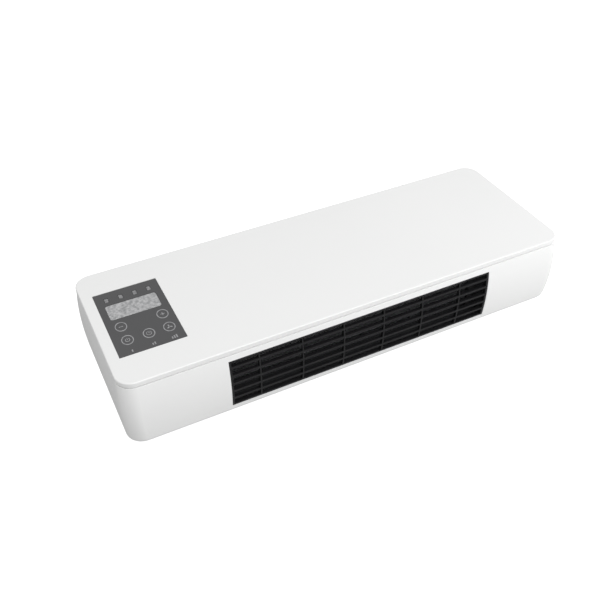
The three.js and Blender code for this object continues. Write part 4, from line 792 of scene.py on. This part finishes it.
# ---- Rear cover ----
# Flat white ABS plate with a spark-eroded back, two keyholes for the wall screws, six screw
# seats, and the ribs and posts that carry what is inside. It drops into the casing's rim.
cover_plastic = moulded(
    "cover_plastic", (0.80, 0.80, 0.785), (0.76, 0.76, 0.745), 0.55, spread=0.12, grain=1300.0,
    depth=0.45,
)


def softened(name, node, width, material, slot, segments=2, degrees=35, body="heater_body"):
    """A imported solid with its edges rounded: a merged copy that stands for it."""
    bm = bmesh.new()
    bm.from_mesh(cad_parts[node].data)
    bmesh.ops.remove_doubles(bm, verts=bm.verts, dist=1e-6)
    bmesh.ops.dissolve_limit(
        bm, angle_limit=math.radians(0.05), verts=bm.verts, edges=bm.edges
    )
    # A face with many corners can fold over an opening once its edges are rounded.
    bmesh.ops.triangulate(bm, faces=[face for face in bm.faces if len(face.verts) > 8])
    for edge in bm.edges:
        if sharp_edge(edge, 0.5) and not sharp_edge(edge, degrees):
            for face in edge.link_faces:
                face.smooth = True
    mesh = bpy.data.meshes.new(name)
    bm.to_mesh(mesh)
    bm.free()
    piece = bpy.data.objects.new(name, mesh)
    bpy.context.scene.collection.objects.link(piece)
    mesh.set_sharp_from_angle(angle=math.radians(degrees))
    rounded_off(piece, width, segments, degrees).modifiers["edges"].harden_normals = True
    return dressed(piece, material, slot, node, body=body)


softened("rear_cover_plate", "rear_cover", 0.4, cover_plastic, "cover_white")


# ---- Cover screws ----
# Six zinc-plated tapping screws with low pan heads and cross recesses, driven in from the
# back. Their recesses never line up.
steel = moulded(
    "zinc_steel", (0.50, 0.51, 0.52), (0.40, 0.41, 0.42), 0.34, spread=0.2, grain=900.0,
    depth=0.15, drift=60.0, Metallic=1.0,
)


def spun(points, at, axis="X", steps=48):
    """A turned body from (radius, along) points; at gives its place, in millimetres."""
    bm = bmesh.new()
    ring = [bm.verts.new((radius, 0, along)) for radius, along in points]
    edges = [bm.edges.new(pair) for pair in zip(ring, ring[1:])]
    bmesh.ops.spin(
        bm, geom=[*ring, *edges], cent=(0, 0, 0), axis=(0, 0, 1), dvec=(0, 0, 0),
        angle=math.tau, steps=steps, use_merge=True, use_duplicate=False,
    )
    bmesh.ops.remove_doubles(bm, verts=bm.verts, dist=1e-5)
    bmesh.ops.recalc_face_normals(bm, faces=bm.faces)
    if axis == "X":
        bmesh.ops.rotate(bm, matrix=ALONG_X, verts=bm.verts)
    moved(bm, at)
    return bm


def screw_profile(length):
    """A pan head and a ridged shank, from the head down, as (radius, along) points."""
    thread = [
        (1.22 if step % 2 else 0.92, 1.3 + 0.4 * step) for step in range(int((length - 3) / 0.4))
    ]
    return [
        (0, 0.03), (1.6, 0.03), (2.4, 0.14), (2.8, 0.42), (2.9, 0.8), (2.85, 1.1), (1.2, 1.1),
        *thread, (1.0, length - 1.5), (0.3, length), (0, length),
    ]


def foot_of(node, lift=0.0):
    """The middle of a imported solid's lowest face, raised by a lift, in millimetres."""
    low, high = limits(node)
    return (low[0] + high[0]) / 2, (low[1] + high[1]) / 2, low[2] + lift


RECESS_REACH, RECESS_HALF, RECESS_DEPTH = 1.7, 0.32, 0.75
for number in range(1, 7):
    length = limits(f"cover_screw_{number}")[1][2]
    middle = (*foot_of(f"cover_screw_{number}")[:2], 0)
    screw = as_piece(f"pan_screw_{number}", spun(screw_profile(length), middle, "Z", 32))
    recess = [
        pad(0, 0, x, y, (-1, RECESS_DEPTH))
        for x, y in ((RECESS_REACH, RECESS_HALF), (RECESS_HALF, RECESS_REACH))
    ]
    for bar in recess:
        moved(bar, middle, 29 * number)
    carved(screw, *(("DIFFERENCE", bar) for bar in recess))
    dressed(smooth(screw, 40), steel, "steel", f"cover_screw_{number}")


# ---- Intake filter ----
# White slatted frame on the intake side, with a fine black net welded behind it. Both slide
# out together to be rinsed.
softened(
    "intake_frame", "intake_grille", 0.45, white_plastic, "body_white", body="intake_filter"
)
net_thread = moulded(
    "net_thread", (0.030, 0.030, 0.032), (0.018, 0.018, 0.019), 0.65, grain=5000.0, depth=0.3,
    drift=80.0,
)
net_low, net_high = limits("dust_net")
NET_PITCH = 1.7
NET_THREAD = 0.17
NET_LAYER = 0.22
NET_RIM = 1.6


def net_threads():
    """Upright threads behind level ones, as thin bars."""
    x0, x1, z0, z1 = net_low[0], net_high[0], net_low[2], net_high[2]
    middle = (net_low[1] + net_high[1]) / 2
    columns = round((x1 - x0) / NET_PITCH)
    rows = round((z1 - z0) / NET_PITCH)
    for column in range(1, columns):
        x = x0 + (x1 - x0) * column / columns
        yield block((x - NET_THREAD, x + NET_THREAD), (middle - NET_LAYER, middle), (z0, z1))
    for row in range(1, rows):
        z = z0 + (z1 - z0) * row / rows
        yield block((x0, x1), (middle, middle + NET_LAYER), (z - NET_THREAD, z + NET_THREAD))


half_net_x, half_net_z = (net_high[0] - net_low[0]) / 2, (net_high[2] - net_low[2]) / 2
net_frame = rounded_slab(half_net_x, half_net_z, 2, 0, net_high[1] - net_low[1], 4)
net_gap = rounded_slab(half_net_x - NET_RIM, half_net_z - NET_RIM, 1.5, -1, 2, 4)
stand = Matrix(((1, 0, 0), (0, 0, -1), (0, 1, 0)))
for plate in (net_frame, net_gap):
    bmesh.ops.rotate(plate, matrix=stand, verts=plate.verts)
    moved(plate, ((net_low[0] + net_high[0]) / 2, net_high[1], (net_low[2] + net_high[2]) / 2))
net = carved(as_piece("net_frame", net_frame), ("DIFFERENCE", net_gap))
dressed(smooth(net), net_thread, "net_black", "dust_net", body="intake_filter")
mesh_of_threads = as_piece("net_mesh", together(*net_threads()))
dressed(mesh_of_threads, net_thread, "net_black", body="intake_filter")


# ---- Mains switch ----
# Black nylon rocker switch clipped into the flat recess of the right end: a bezel, a rocker
# on pins that tips about the Y axis, and the usual bar and ring printed in white.
part_black = moulded(
    "part_black", (0.025, 0.026, 0.028), (0.018, 0.019, 0.020), 0.42, spread=0.14, grain=2000.0,
    depth=0.16, drift=20.0,
)
softened("switch_bezel", "switch_housing", 0.45, part_black, "part_black", 3)
softened("rocker_key", "power_rocker", 0.5, part_black, "part_black", 3, 30, body="rocker")
switch_print = moulded(
    "switch_print", (0.75, 0.75, 0.74), (0.66, 0.66, 0.65), 0.5, grain=4000.0, drift=200.0
)
ROCKER_PIVOT = Vector((262.0, 66.0, 45.0))
ROCKER_REST = 8
ROCKER_MIDDLE = 5.6
ROCKER_EDGE = (12 * math.cos(math.radians(48)), 12 * math.sin(math.radians(48)))
SIGN_LOW, SIGN_HIGH = -0.1, 0.06


def on_rocker(bm, side):
    """Lays a sign made flat at the origin on the rocker's upper (1) or lower (-1) face."""
    along = Vector((ROCKER_EDGE[0] - ROCKER_MIDDLE, 0, side * ROCKER_EDGE[1])).normalized()
    out = Vector((along.z * side, 0, -along.x * side))
    middle = Vector(((ROCKER_EDGE[0] + ROCKER_MIDDLE) / 2, 0, side * ROCKER_EDGE[1] / 2))
    turn = Matrix((Vector((0, 1, 0)), along * side, out)).transposed().to_4x4()
    rest = Matrix.Rotation(math.radians(ROCKER_REST), 4, "Y")
    whole = Matrix.Translation(ROCKER_PIVOT) @ rest @ Matrix.Translation(middle) @ turn
    bmesh.ops.transform(bm, matrix=whole, verts=bm.verts)
    return bm


on_sign = pad(0, 0, 0.4, 1.9, (SIGN_LOW, SIGN_HIGH))
off_sign = spun(
    [(1.3, SIGN_LOW), (2.0, SIGN_LOW), (2.0, SIGN_HIGH), (1.3, SIGN_HIGH), (1.3, SIGN_LOW)],
    (0, 0, 0), "Z", 40,
)
rocker_signs = as_piece("rocker_signs", together(on_rocker(on_sign, 1), on_rocker(off_sign, -1)))
dressed(rocker_signs, switch_print, "cover_white", body="rocker")


# ---- Cord inlet ----
# Soft black rubber grommet, moulded in one, with a lip on each side of the wall that it is
# pulled into and two thin sealing rings.
rubber = moulded(
    "rubber", (0.020, 0.020, 0.021), (0.014, 0.014, 0.014), 0.72, spread=0.2, grain=1800.0,
    depth=0.25, drift=60.0,
)
INLET_OUT = 267.3


def turned(name, points, at, material, slot, *nodes, axis="X", steps=48, edge=0.25,
           body="heater_body"):
    """A turned piece with its edges broken."""
    piece = as_piece(name, spun(points, at, axis, steps))
    if edge:
        rounded_off(piece, edge, 2, 40)
    smooth(piece, 40)
    return dressed(piece, material, slot, *nodes, body=body)


turned(
    "cord_grommet",
    [
        (3.8, -6.1), (7.6, -6.1), (7.6, -3.1), (6.0, -3.1), (6.0, 0), (8.5, 0), (8.5, 0.9),
        (7.5, 1.8), (6.6, 1.8), (6.4, 1.5), (6.0, 1.5), (5.8, 1.8), (5.2, 1.8), (5.0, 1.5),
        (4.6, 1.5), (4.4, 1.8), (3.8, 1.8), (3.8, -6.1),
    ],
    (INLET_OUT, -60, 22), rubber, "rubber", "cord_inlet", steps=64, edge=0.15,
)


# ---- Fan duct ----
# Two mouldings in heat-resistant plastic: the scroll with its end plates, and the
# guide over the fan with the nose that parts the air. Screwed to the cover from behind.
# Their colour is painted nearly black: painted shade for the inside seen through the grilles.
duct_plastic_painted_shade = moulded(
    "duct_plastic_painted_shade", (0.045, 0.045, 0.047), (0.034, 0.034, 0.036), 0.6, spread=0.12, grain=1200.0,
    depth=0.3, drift=12.0,
)
softened("duct_scroll", "scroll_housing", 0.35, duct_plastic_painted_shade, "duct_grey")
softened("duct_guide", "air_guide", 0.35, duct_plastic_painted_shade, "duct_grey")


# ---- Heater ----
# Ceramic elements in two extruded aluminium bars, between four packs of folded aluminium
# foil with thin face plates. Glass-filled holders at the ends sit in the duct.
aluminium = moulded(
    "aluminium", (0.50, 0.51, 0.52), (0.36, 0.37, 0.38), 0.42, spread=0.25, grain=1400.0,
    depth=0.2, drift=40.0, stretch=(0.15, 1, 1), Metallic=1.0,
)
heat_plastic = moulded(
    "heat_plastic", (0.030, 0.030, 0.031), (0.020, 0.020, 0.021), 0.55, spread=0.15,
    grain=1500.0, depth=0.35, drift=30.0,
)
FOIL = 0.22
FOLDS = 96
FOIL_INSET = 0.7
FACE_PLATE = 0.5


def folded_foil(low, high):
    """Foil folded up, across, down and across along X between two thin plates."""
    bm = bmesh.new()
    start = [bm.verts.new((low[0] + 0.3, y, low[2] + FOIL_INSET)) for y in (low[1], high[1])]
    edge = bm.edges.new(start)
    step = (high[0] - low[0] - 0.6) / (2 * FOLDS)
    rise = high[2] - low[2] - 2 * FOIL_INSET
    for _ in range(FOLDS):
        for move in ((0, 0, rise), (step, 0, 0), (0, 0, -rise), (step, 0, 0)):
            made = bmesh.ops.extrude_edge_only(bm, edges=[edge])["geom"]
            edge = next(g for g in made if isinstance(g, bmesh.types.BMEdge))
            bmesh.ops.translate(bm, vec=move, verts=edge.verts)
    bmesh.ops.solidify(bm, geom=bm.faces[:], thickness=FOIL)
    return together(
        bm,
        block((low[0], high[0]), (low[1], high[1]), (low[2], low[2] + FACE_PLATE)),
        block((low[0], high[0]), (low[1], high[1]), (high[2] - FACE_PLATE, high[2])),
    )


for number in range(1, 5):
    fins = as_piece(f"foil_pack_{number}", folded_foil(*limits(f"heater_fins_{number}")))
    dressed(fins, aluminium, "aluminium", f"heater_fins_{number}")
for number in (1, 2):
    softened(f"ceramic_bar_{number}", f"ptc_bar_{number}", 0.35, aluminium, "aluminium")
for side in ("left", "right"):
    softened(f"holder_{side}", f"heater_holder_{side}", 0.4, heat_plastic, "heat_plastic")


# ---- Thermostat and thermal fuse ----
# A disc thermostat with a steel cap that dips through the duct's roof and two flat tags, and
# a one-shot fuse with axial leads beside it.
thermostat_at = foot_of("thermostat", 3)
turned(
    "thermostat_body",
    [(0, 0.02), (7.8, 0.02), (7.8, 4.8), (7.0, 6), (2.2, 6), (2.0, 5.6), (0, 5.6)],
    thermostat_at, part_black, "part_black", "thermostat", axis="Z",
)
turned(
    "thermostat_cap", [(0, -3), (5.6, -3), (6.2, -2.4), (6.2, 0), (7.6, 0), (7.6, 0.5), (0, 0.5)],
    thermostat_at, steel, "steel", axis="Z", edge=0.15,
)
tags = [
    pad(
        thermostat_at[0], thermostat_at[1] + side * 10.3, 3.15, 3.5,
        (thermostat_at[2] + 3, thermostat_at[2] + 3.8),
    )
    for side in (-1, 1)
]
tag_holes = [
    rod(0.8, 80, 90, (thermostat_at[0], thermostat_at[1] + side * 12)) for side in (-1, 1)
]
tag_piece = carved(
    as_piece("thermostat_tags", together(*tags)), ("DIFFERENCE", together(*tag_holes))
)
dressed(smooth(tag_piece), steel, "steel")
fuse_low, fuse_high = limits("thermal_fuse")
turned(
    "thermal_link",
    [(0, -16), (0.5, -16), (0.5, -6), (1.4, -5.6), (2, -5), (2, 4.2), (1.8, 4.5), (2, 4.8),
     (1.4, 5.6), (0.5, 6), (0.5, 16), (0, 16)],
    tuple((a + b) / 2 for a, b in zip(fuse_low, fuse_high)), steel, "steel",
    "thermal_fuse", steps=24, edge=0,
)


# ---- Cross-flow wheel ----
# Moulded in dark glass-filled plastic: thirty-six thin curved blades between welded discs,
# with a hub at each end. The left hub runs on a stub shaft, the right one on the motor's.
FAN_AXIS = Vector((0, 16.0, 43.0))
FAN_BLADES = 36
wheel_low, wheel_high = limits("impeller")


def wheel_blade():
    """One blade, standing out along +Y: a short edge swept round, then drawn out along X."""
    bm = bmesh.new()
    ends = [bm.verts.new((0, 20.9, z)) for z in (-0.4, 0.4)]
    edge = bm.edges.new(ends)
    bmesh.ops.spin(
        bm, geom=[*ends, edge], cent=(0, 20.9, 6.5), axis=(1, 0, 0), dvec=(0, 0, 0),
        angle=math.radians(101), steps=6, use_merge=False, use_duplicate=False,
    )
    made = bmesh.ops.extrude_face_region(bm, geom=[*bm.faces, *bm.edges])["geom"]
    far_end = [g for g in made if isinstance(g, bmesh.types.BMVert)]
    bmesh.ops.translate(bm, vec=(wheel_high[0] - wheel_low[0] - 1, 0, 0), verts=far_end)
    moved(bm, (wheel_low[0] + 0.5, 0, 0))
    return bm


def wheel_blades():
    """All the blades, turned round the wheel's axis."""
    for number in range(FAN_BLADES):
        bm = wheel_blade()
        turn = Matrix.Rotation(math.tau * number / FAN_BLADES, 3, "X")
        bmesh.ops.rotate(bm, matrix=turn, verts=bm.verts)
        moved(bm, FAN_AXIS)
        yield bm


def wheel_disc(x0, x1, inner):
    """A flat disc with a chamfered rim and a round opening."""
    return spun(
        [
            (inner, x0), (28.7, x0), (29, x0 + 0.3), (29, x1 - 0.3), (28.7, x1), (inner, x1),
            (inner, x0),
        ],
        FAN_AXIS,
    )


def wheel_hub(end, inwards, bore):
    """A hub that runs inwards (1 for +X, -1 for -X) from an end, with its far edge broken."""
    far = end + inwards * 11
    return spun(
        [(bore, end), (8, end), (8, far - inwards * 0.6), (7.4, far), (bore, far), (bore, end)],
        FAN_AXIS,
    )


STUB_BORE, MOTOR_BORE = 3.3, 4.3
wheel_middle = (wheel_low[0] + wheel_high[0]) / 2
wheel_quarter = (wheel_high[0] - wheel_low[0]) / 4
wheel = as_piece("fan_wheel_moulding", together(
    *wheel_blades(),
    wheel_disc(wheel_low[0], wheel_low[0] + 2.2, STUB_BORE),
    wheel_disc(wheel_high[0] - 2.2, wheel_high[0], MOTOR_BORE),
    *(
        wheel_disc(x - 0.7, x + 0.7, 19.5)
        for x in (wheel_middle + place * wheel_quarter for place in (-1, 0, 1))
    ),
    wheel_hub(wheel_low[0], 1, STUB_BORE),
    wheel_hub(wheel_high[0], -1, MOTOR_BORE),
))
dressed(smooth(wheel, 40), heat_plastic, "heat_plastic", "impeller", body="fan_wheel")


# ---- Shafts and bearing ----
# Ground steel shafts with chamfered ends. The left one runs in a sintered bronze bush, held
# in a soft rubber seat that snaps into the duct's end plate.
ground_steel = moulded(
    "ground_steel", (0.60, 0.61, 0.62), (0.50, 0.51, 0.52), 0.22, spread=0.12, grain=1500.0,
    depth=0.12, drift=50.0, stretch=(6, 1, 1), Metallic=1.0,
)
for name, node, radius in (("stub_pin", "stub_shaft", 3.0), ("motor_spindle", "motor_shaft", 4.0)):
    low, high = limits(node)
    turned(
        name,
        [
            (0, low[0]), (radius - 0.4, low[0]), (radius, low[0] + 0.4), (radius, high[0] - 0.4),
            (radius - 0.4, high[0]), (0, high[0]),
        ],
        FAN_AXIS, ground_steel, "steel", node, edge=0, body="fan_wheel",
    )
bronze = moulded(
    "bronze", (0.45, 0.28, 0.15), (0.34, 0.20, 0.10), 0.48, spread=0.2, grain=2600.0, depth=0.4,
    drift=90.0, Metallic=1.0,
)
BEARING_AT = FAN_AXIS + Vector((-161.5, 0, 0))
turned(
    "bronze_bush",
    [(STUB_BORE, -4.5), (6, -4.5), (6, 4.5), (STUB_BORE, 4.5), (STUB_BORE, -4.5)],
    BEARING_AT, bronze, "bronze", "bearing_bush", edge=0.35,
)
turned(
    "bush_seat",
    [
        (6.3, -4), (9, -4), (9.4, -3.4), (10.6, -3.4), (11, -4), (13, -4), (13, -1.3),
        (10.7, -1.3), (10.7, 1.3), (13, 1.3), (13, 4), (11, 4), (10.6, 3.4), (9.4, 3.4), (9, 4),
        (6.3, 4), (6.3, -4),
    ],
    BEARING_AT, rubber, "rubber", "bearing_seat", edge=0.3,
)


# ---- Motor ----
# A closed can of drawn steel with a rolled seam, its rotor on the shaft, two ribbed rubber
# rings round its bosses, and a bent zinc-plated bracket that stands on the cover.
MOTOR_AT = FAN_AXIS + Vector((176.0, 0, 0))
turned(
    "drawn_can",
    [
        (4.3, 0), (8.7, 0), (8.7, 9.4), (9.3, 10), (26, 10), (27.4, 10.6), (28, 12), (28, 28),
        (27.6, 28.6), (27.6, 31.4), (28, 32), (28, 48), (27.4, 49.4), (26, 50), (9.3, 50),
        (8.7, 50.6), (8.7, 60), (4.3, 60), (4.3, 46), (17.3, 46), (17.3, 14), (4.3, 14), (4.3, 0),
    ],
    MOTOR_AT, steel, "steel", "motor_can", steps=64,
)
turned(
    "rotor_pack", [(4.3, 14.3), (17, 14.3), (17, 45.7), (4.3, 45.7), (4.3, 14.3)],
    MOTOR_AT, steel, "steel", "motor_rotor", steps=64, edge=0.4, body="fan_wheel",
)
for end, middle in (("front", 5.0), ("rear", 55.0)):
    turned(
        f"rubber_ring_{end}",
        [
            (9, middle - 4), (14, middle - 4), (15, middle - 3.2), (15, middle - 1.6),
            (14.4, middle - 1.2), (14.4, middle + 1.2), (15, middle + 1.6), (15, middle + 3.2),
            (14, middle + 4), (9, middle + 4), (9, middle - 4),
        ],
        MOTOR_AT, rubber, "rubber", f"motor_ring_{end}", edge=0.3,
    )
softened("motor_cradle", "motor_bracket", 0.35, steel, "steel")


# ---- Boards ----
# Glass-fibre boards with green solder mask over copper tracks, one under the controls and a
# larger one on posts on the cover, and their small parts.
def board_material():
    """Green mask over lighter broken tracks and patches, both a little raised."""
    material, tree, shader, place = bare_material("board", Roughness=0.34)
    pattern = {"Vector": place, "Scale": 34.0, "Mortar Size": 0.045, "Mortar Smooth": 0.0}
    tracks = added(tree, "TexBrick", "Fac", pattern)
    broken = ramp(tree, noise(tree, place, 55.0), 0.47, 0.5)
    shown = maths(tree, "MULTIPLY", tracks, broken)
    patches = ramp(tree, noise(tree, place, 14.0), 0.55, 0.58)
    mask = mixed(tree, patches, (0.016, 0.11, 0.048, 1), (0.026, 0.16, 0.07, 1))
    tree.links.new(mixed(tree, shown, mask, (0.04, 0.24, 0.10, 1)), shader.inputs["Base Color"])
    height = maths(tree, "ADD", shown, patches)
    lift = added(tree, "Bump", "Normal", {"Height": height, "Strength": 0.4, "Distance": 0.00005})
    tree.links.new(lift, shader.inputs["Normal"])
    return material


board = board_material()
softened("control_board", "display_board", 0.15, board, "board_green")
softened("mains_board", "power_board", 0.15, board, "board_green")
small_chips = [
    pad(x, y, 1.6, 0.8, (74.9, 76.4))
    for x, y in ((-250, -18), (-250, -14), (-232, -14), (-206, -16), (-206, -20), (-192, 4))
]
large_chips = [
    block((-237, -229), (-24, -16), (75.2, 77)),
    block((-204, -196), (52, 66), (13.2, 19)),
    block((-182, -177), (-66, -52), (13.2, 21)),
]
RESISTOR = [(0, -3), (0.9, -3), (1.3, -2.4), (1.3, 2.4), (0.9, 3), (0, 3)]
resistors = [
    spun(RESISTOR, (x, y, 15), "X", 16)
    for x, y in ((-250, 10), (-250, 16), (-250, -10), (-250, -24), (-206, -34))
]
chips = as_piece("chips_and_resistors", together(*small_chips, *large_chips, *resistors))
rounded_off(chips, 0.15, 2)
dressed(smooth(chips, 35), part_black, "part_black")


# ---- Display module and receiver ----
# The display's black moulded frame, soldered to its board under the window, and a black
# resin infrared receiver beside it.
softened("display_frame", "display_module", 0.5, part_black, "part_black")
softened("receiver", "infrared_receiver", 0.25, part_black, "part_black")


# ---- Touch springs ----
# Coils of plated spring wire under the keys, soldered to the board, that sense a finger
# through the film.
spring_wire = moulded(
    "spring_wire", (0.56, 0.56, 0.55), (0.46, 0.46, 0.45), 0.25, spread=0.1, drift=300.0,
    Metallic=1.0,
)


SPRING_RADIUS, SPRING_WIRE, SPRING_TURNS = 3.5, 0.32, 7


def coil(at, radius, wire, low, high, turns):
    """A round wire carried along a helix; the spin's shift gives its rise."""
    steps = 20 * turns
    bm = bmesh.new()
    bmesh.ops.create_circle(bm, cap_ends=True, segments=8, radius=wire)
    bmesh.ops.rotate(bm, matrix=Matrix.Rotation(math.radians(90), 3, "X"), verts=bm.verts)
    moved(bm, (radius - wire, 0, low + wire))
    bmesh.ops.spin(
        bm, geom=[*bm.verts, *bm.edges, *bm.faces], cent=(0, 0, 0), axis=(0, 0, 1),
        dvec=(0, 0, (high - low - 2 * wire) / steps), angle=math.tau * turns, steps=steps,
        use_merge=False, use_duplicate=False,
    )
    moved(bm, (*at, 0))
    return bm


for number in range(1, 6):
    low, high = limits(f"touch_spring_{number}")
    at = foot_of(f"touch_spring_{number}")[:2]
    spring = coil(at, SPRING_RADIUS, SPRING_WIRE, low[2], high[2], SPRING_TURNS)
    spring = as_piece(f"key_spring_{number}", spring)
    dressed(smooth(spring, 50), spring_wire, "spring_steel", f"touch_spring_{number}")


# ---- Relays ----
# Three sealed relays in moulded blue cases, each with a vent nib on top, soldered to the
# larger board.
relay_case = moulded(
    "relay_case", (0.02, 0.09, 0.24), (0.015, 0.07, 0.19), 0.3, spread=0.1, grain=1500.0,
    depth=0.12, drift=40.0,
)
for name in ("heater_relay_1", "heater_relay_2", "fan_relay"):
    softened(f"{name}_case", name, 0.35, relay_case, "relay_blue")
    low, high = limits(name)
    nib = rod(0.9, high[2] - 0.5, high[2] + 0.4, (low[0] + 3, low[1] + 4), sides=16)
    nib_piece = rounded_off(as_piece(f"{name}_nib", nib), 0.2)
    dressed(nib_piece, relay_case, "relay_blue")


# ---- Transformer, capacitor and buzzer ----
# A laminated core round a taped winding with end flanges, an aluminium can in a sleeve with
# a scored top, and a round buzzer with its sound hole, all soldered to the larger board.
laminated = moulded(
    "laminated", (0.06, 0.06, 0.065), (0.03, 0.03, 0.032), 0.45, spread=0.2, grain=1100.0,
    depth=0.8, drift=60.0, stretch=(0.02, 1, 0.02), Metallic=0.6,
)
tx, ty, tz = foot_of("supply_transformer")
transformer_top = limits("supply_transformer")[1][2]
core = as_piece("transformer_core", pad(tx, ty, 14, 8, (tz + 3, transformer_top)))
rounded_off(core, 0.4)
dressed(smooth(core), laminated, "part_black", "supply_transformer")
winding = pad(tx, ty, 8.4, 14.2, (tz + 1, tz + 21))
round_edges(winding, upright, 3, 5)
flanges = [pad(tx, ty, 9, 15, (low, low + 1.2)) for low in (tz, tz + 20.8)]
winding_piece = as_piece("transformer_winding", together(winding, *flanges))
rounded_off(winding_piece, 0.25)
dressed(smooth(winding_piece), part_black, "part_black")
capacitor_at = foot_of("supply_capacitor")
turned(
    "capacitor_sleeve",
    [
        (0, 0), (8, 0), (8, 1.9), (7.5, 2.6), (8, 3.3), (8, 24.2), (7.4, 24.9), (6.6, 24.9),
        (6.6, 24.3), (0, 24.3),
    ],
    capacitor_at, part_black, "part_black", "supply_capacitor", axis="Z", edge=0.15,
)
capacitor_top = as_piece(
    "capacitor_top",
    spun([(0, 23.8), (6.5, 23.8), (6.5, 24.75), (0, 24.75)], capacitor_at, "Z"),
)
carved(capacitor_top, *(
    ("DIFFERENCE", pad(*capacitor_at[:2], half_x, half_y, (38.4, 39.5)))
    for half_x, half_y in ((4.5, 0.25), (0.25, 4.5))
))
dressed(smooth(capacitor_top, 40), aluminium, "aluminium")
turned(
    "buzzer_case",
    [(0, 0), (6, 0), (6, 8), (5.5, 8.5), (2, 8.5), (1.7, 8.2), (1.2, 8.2), (1.2, 5), (0, 5)],
    foot_of("buzzer"), part_black, "part_black", "buzzer", axis="Z",
)


# ---- Board fuse ----
# A clear glass tube with plated end caps, snapped into two spring clips that stand on the
# larger board.
fuse_glass = moulded(
    "fuse_tube", (0.55, 0.58, 0.58), (0.50, 0.53, 0.53), 0.12, grain=600.0, depth=0.04,
    drift=90.0, Transmission_Weight=0.5,
)
FUSE_LIFT = 4.5
fuse_at = foot_of("board_fuse", FUSE_LIFT)
turned(
    "glass_tube", [(0, -7), (2.4, -7), (2.4, 7), (0, 7)], fuse_at, fuse_glass, "fuse_glass",
    "board_fuse", edge=0.1,
)
for number, side in enumerate((-1, 1), 1):
    turned(
        f"fuse_cap_{number}",
        [(0, side * 5), (2.7, side * 5), (2.75, side * 9.7), (2.4, side * 10), (0, side * 10)],
        fuse_at, steel, "steel", edge=0.1,
    )
    x = fuse_at[0] + side * 7.5
    clip = pad(x, fuse_at[1], 1.5, 3.4, (fuse_at[2] - FUSE_LIFT, fuse_at[2]))
    clip = as_piece(f"fuse_clip_{number}", clip)
    mouth = pad(x, fuse_at[1], 3, 2.8, (fuse_at[2] - 2.2, fuse_at[2] + 1))
    carved(
        clip, ("DIFFERENCE", rod(2.8, x - 3, x + 3, fuse_at[1:], "X")), ("DIFFERENCE", mouth)
    )
    dressed(smooth(clip, 40), steel, "steel")


# ---- Terminal block ----
# A white moulded three-way block, screwed to the cover, with a slotted steel clamp screw
# down each well.
softened("terminal_housing", "terminal_block", 0.4, cover_plastic, "cover_white")
terminal_low, terminal_high = limits("terminal_block")
for number in range(3):
    x = terminal_low[0] + (terminal_high[0] - terminal_low[0]) * (number + 0.5) / 3
    y = (terminal_low[1] + terminal_high[1]) / 2
    clamp = as_piece(f"clamp_screw_{number + 1}", spun(
        [(0, 13.0), (2.2, 13.0), (2.2, 17.4), (1.9, 17.8), (0, 17.8)], (x, y, 0), "Z", 32
    ))
    carved(clamp, ("DIFFERENCE", pad(x, y, 3, 0.35, (17.0, 18.5))))
    dressed(smooth(clamp, 40), steel, "steel")
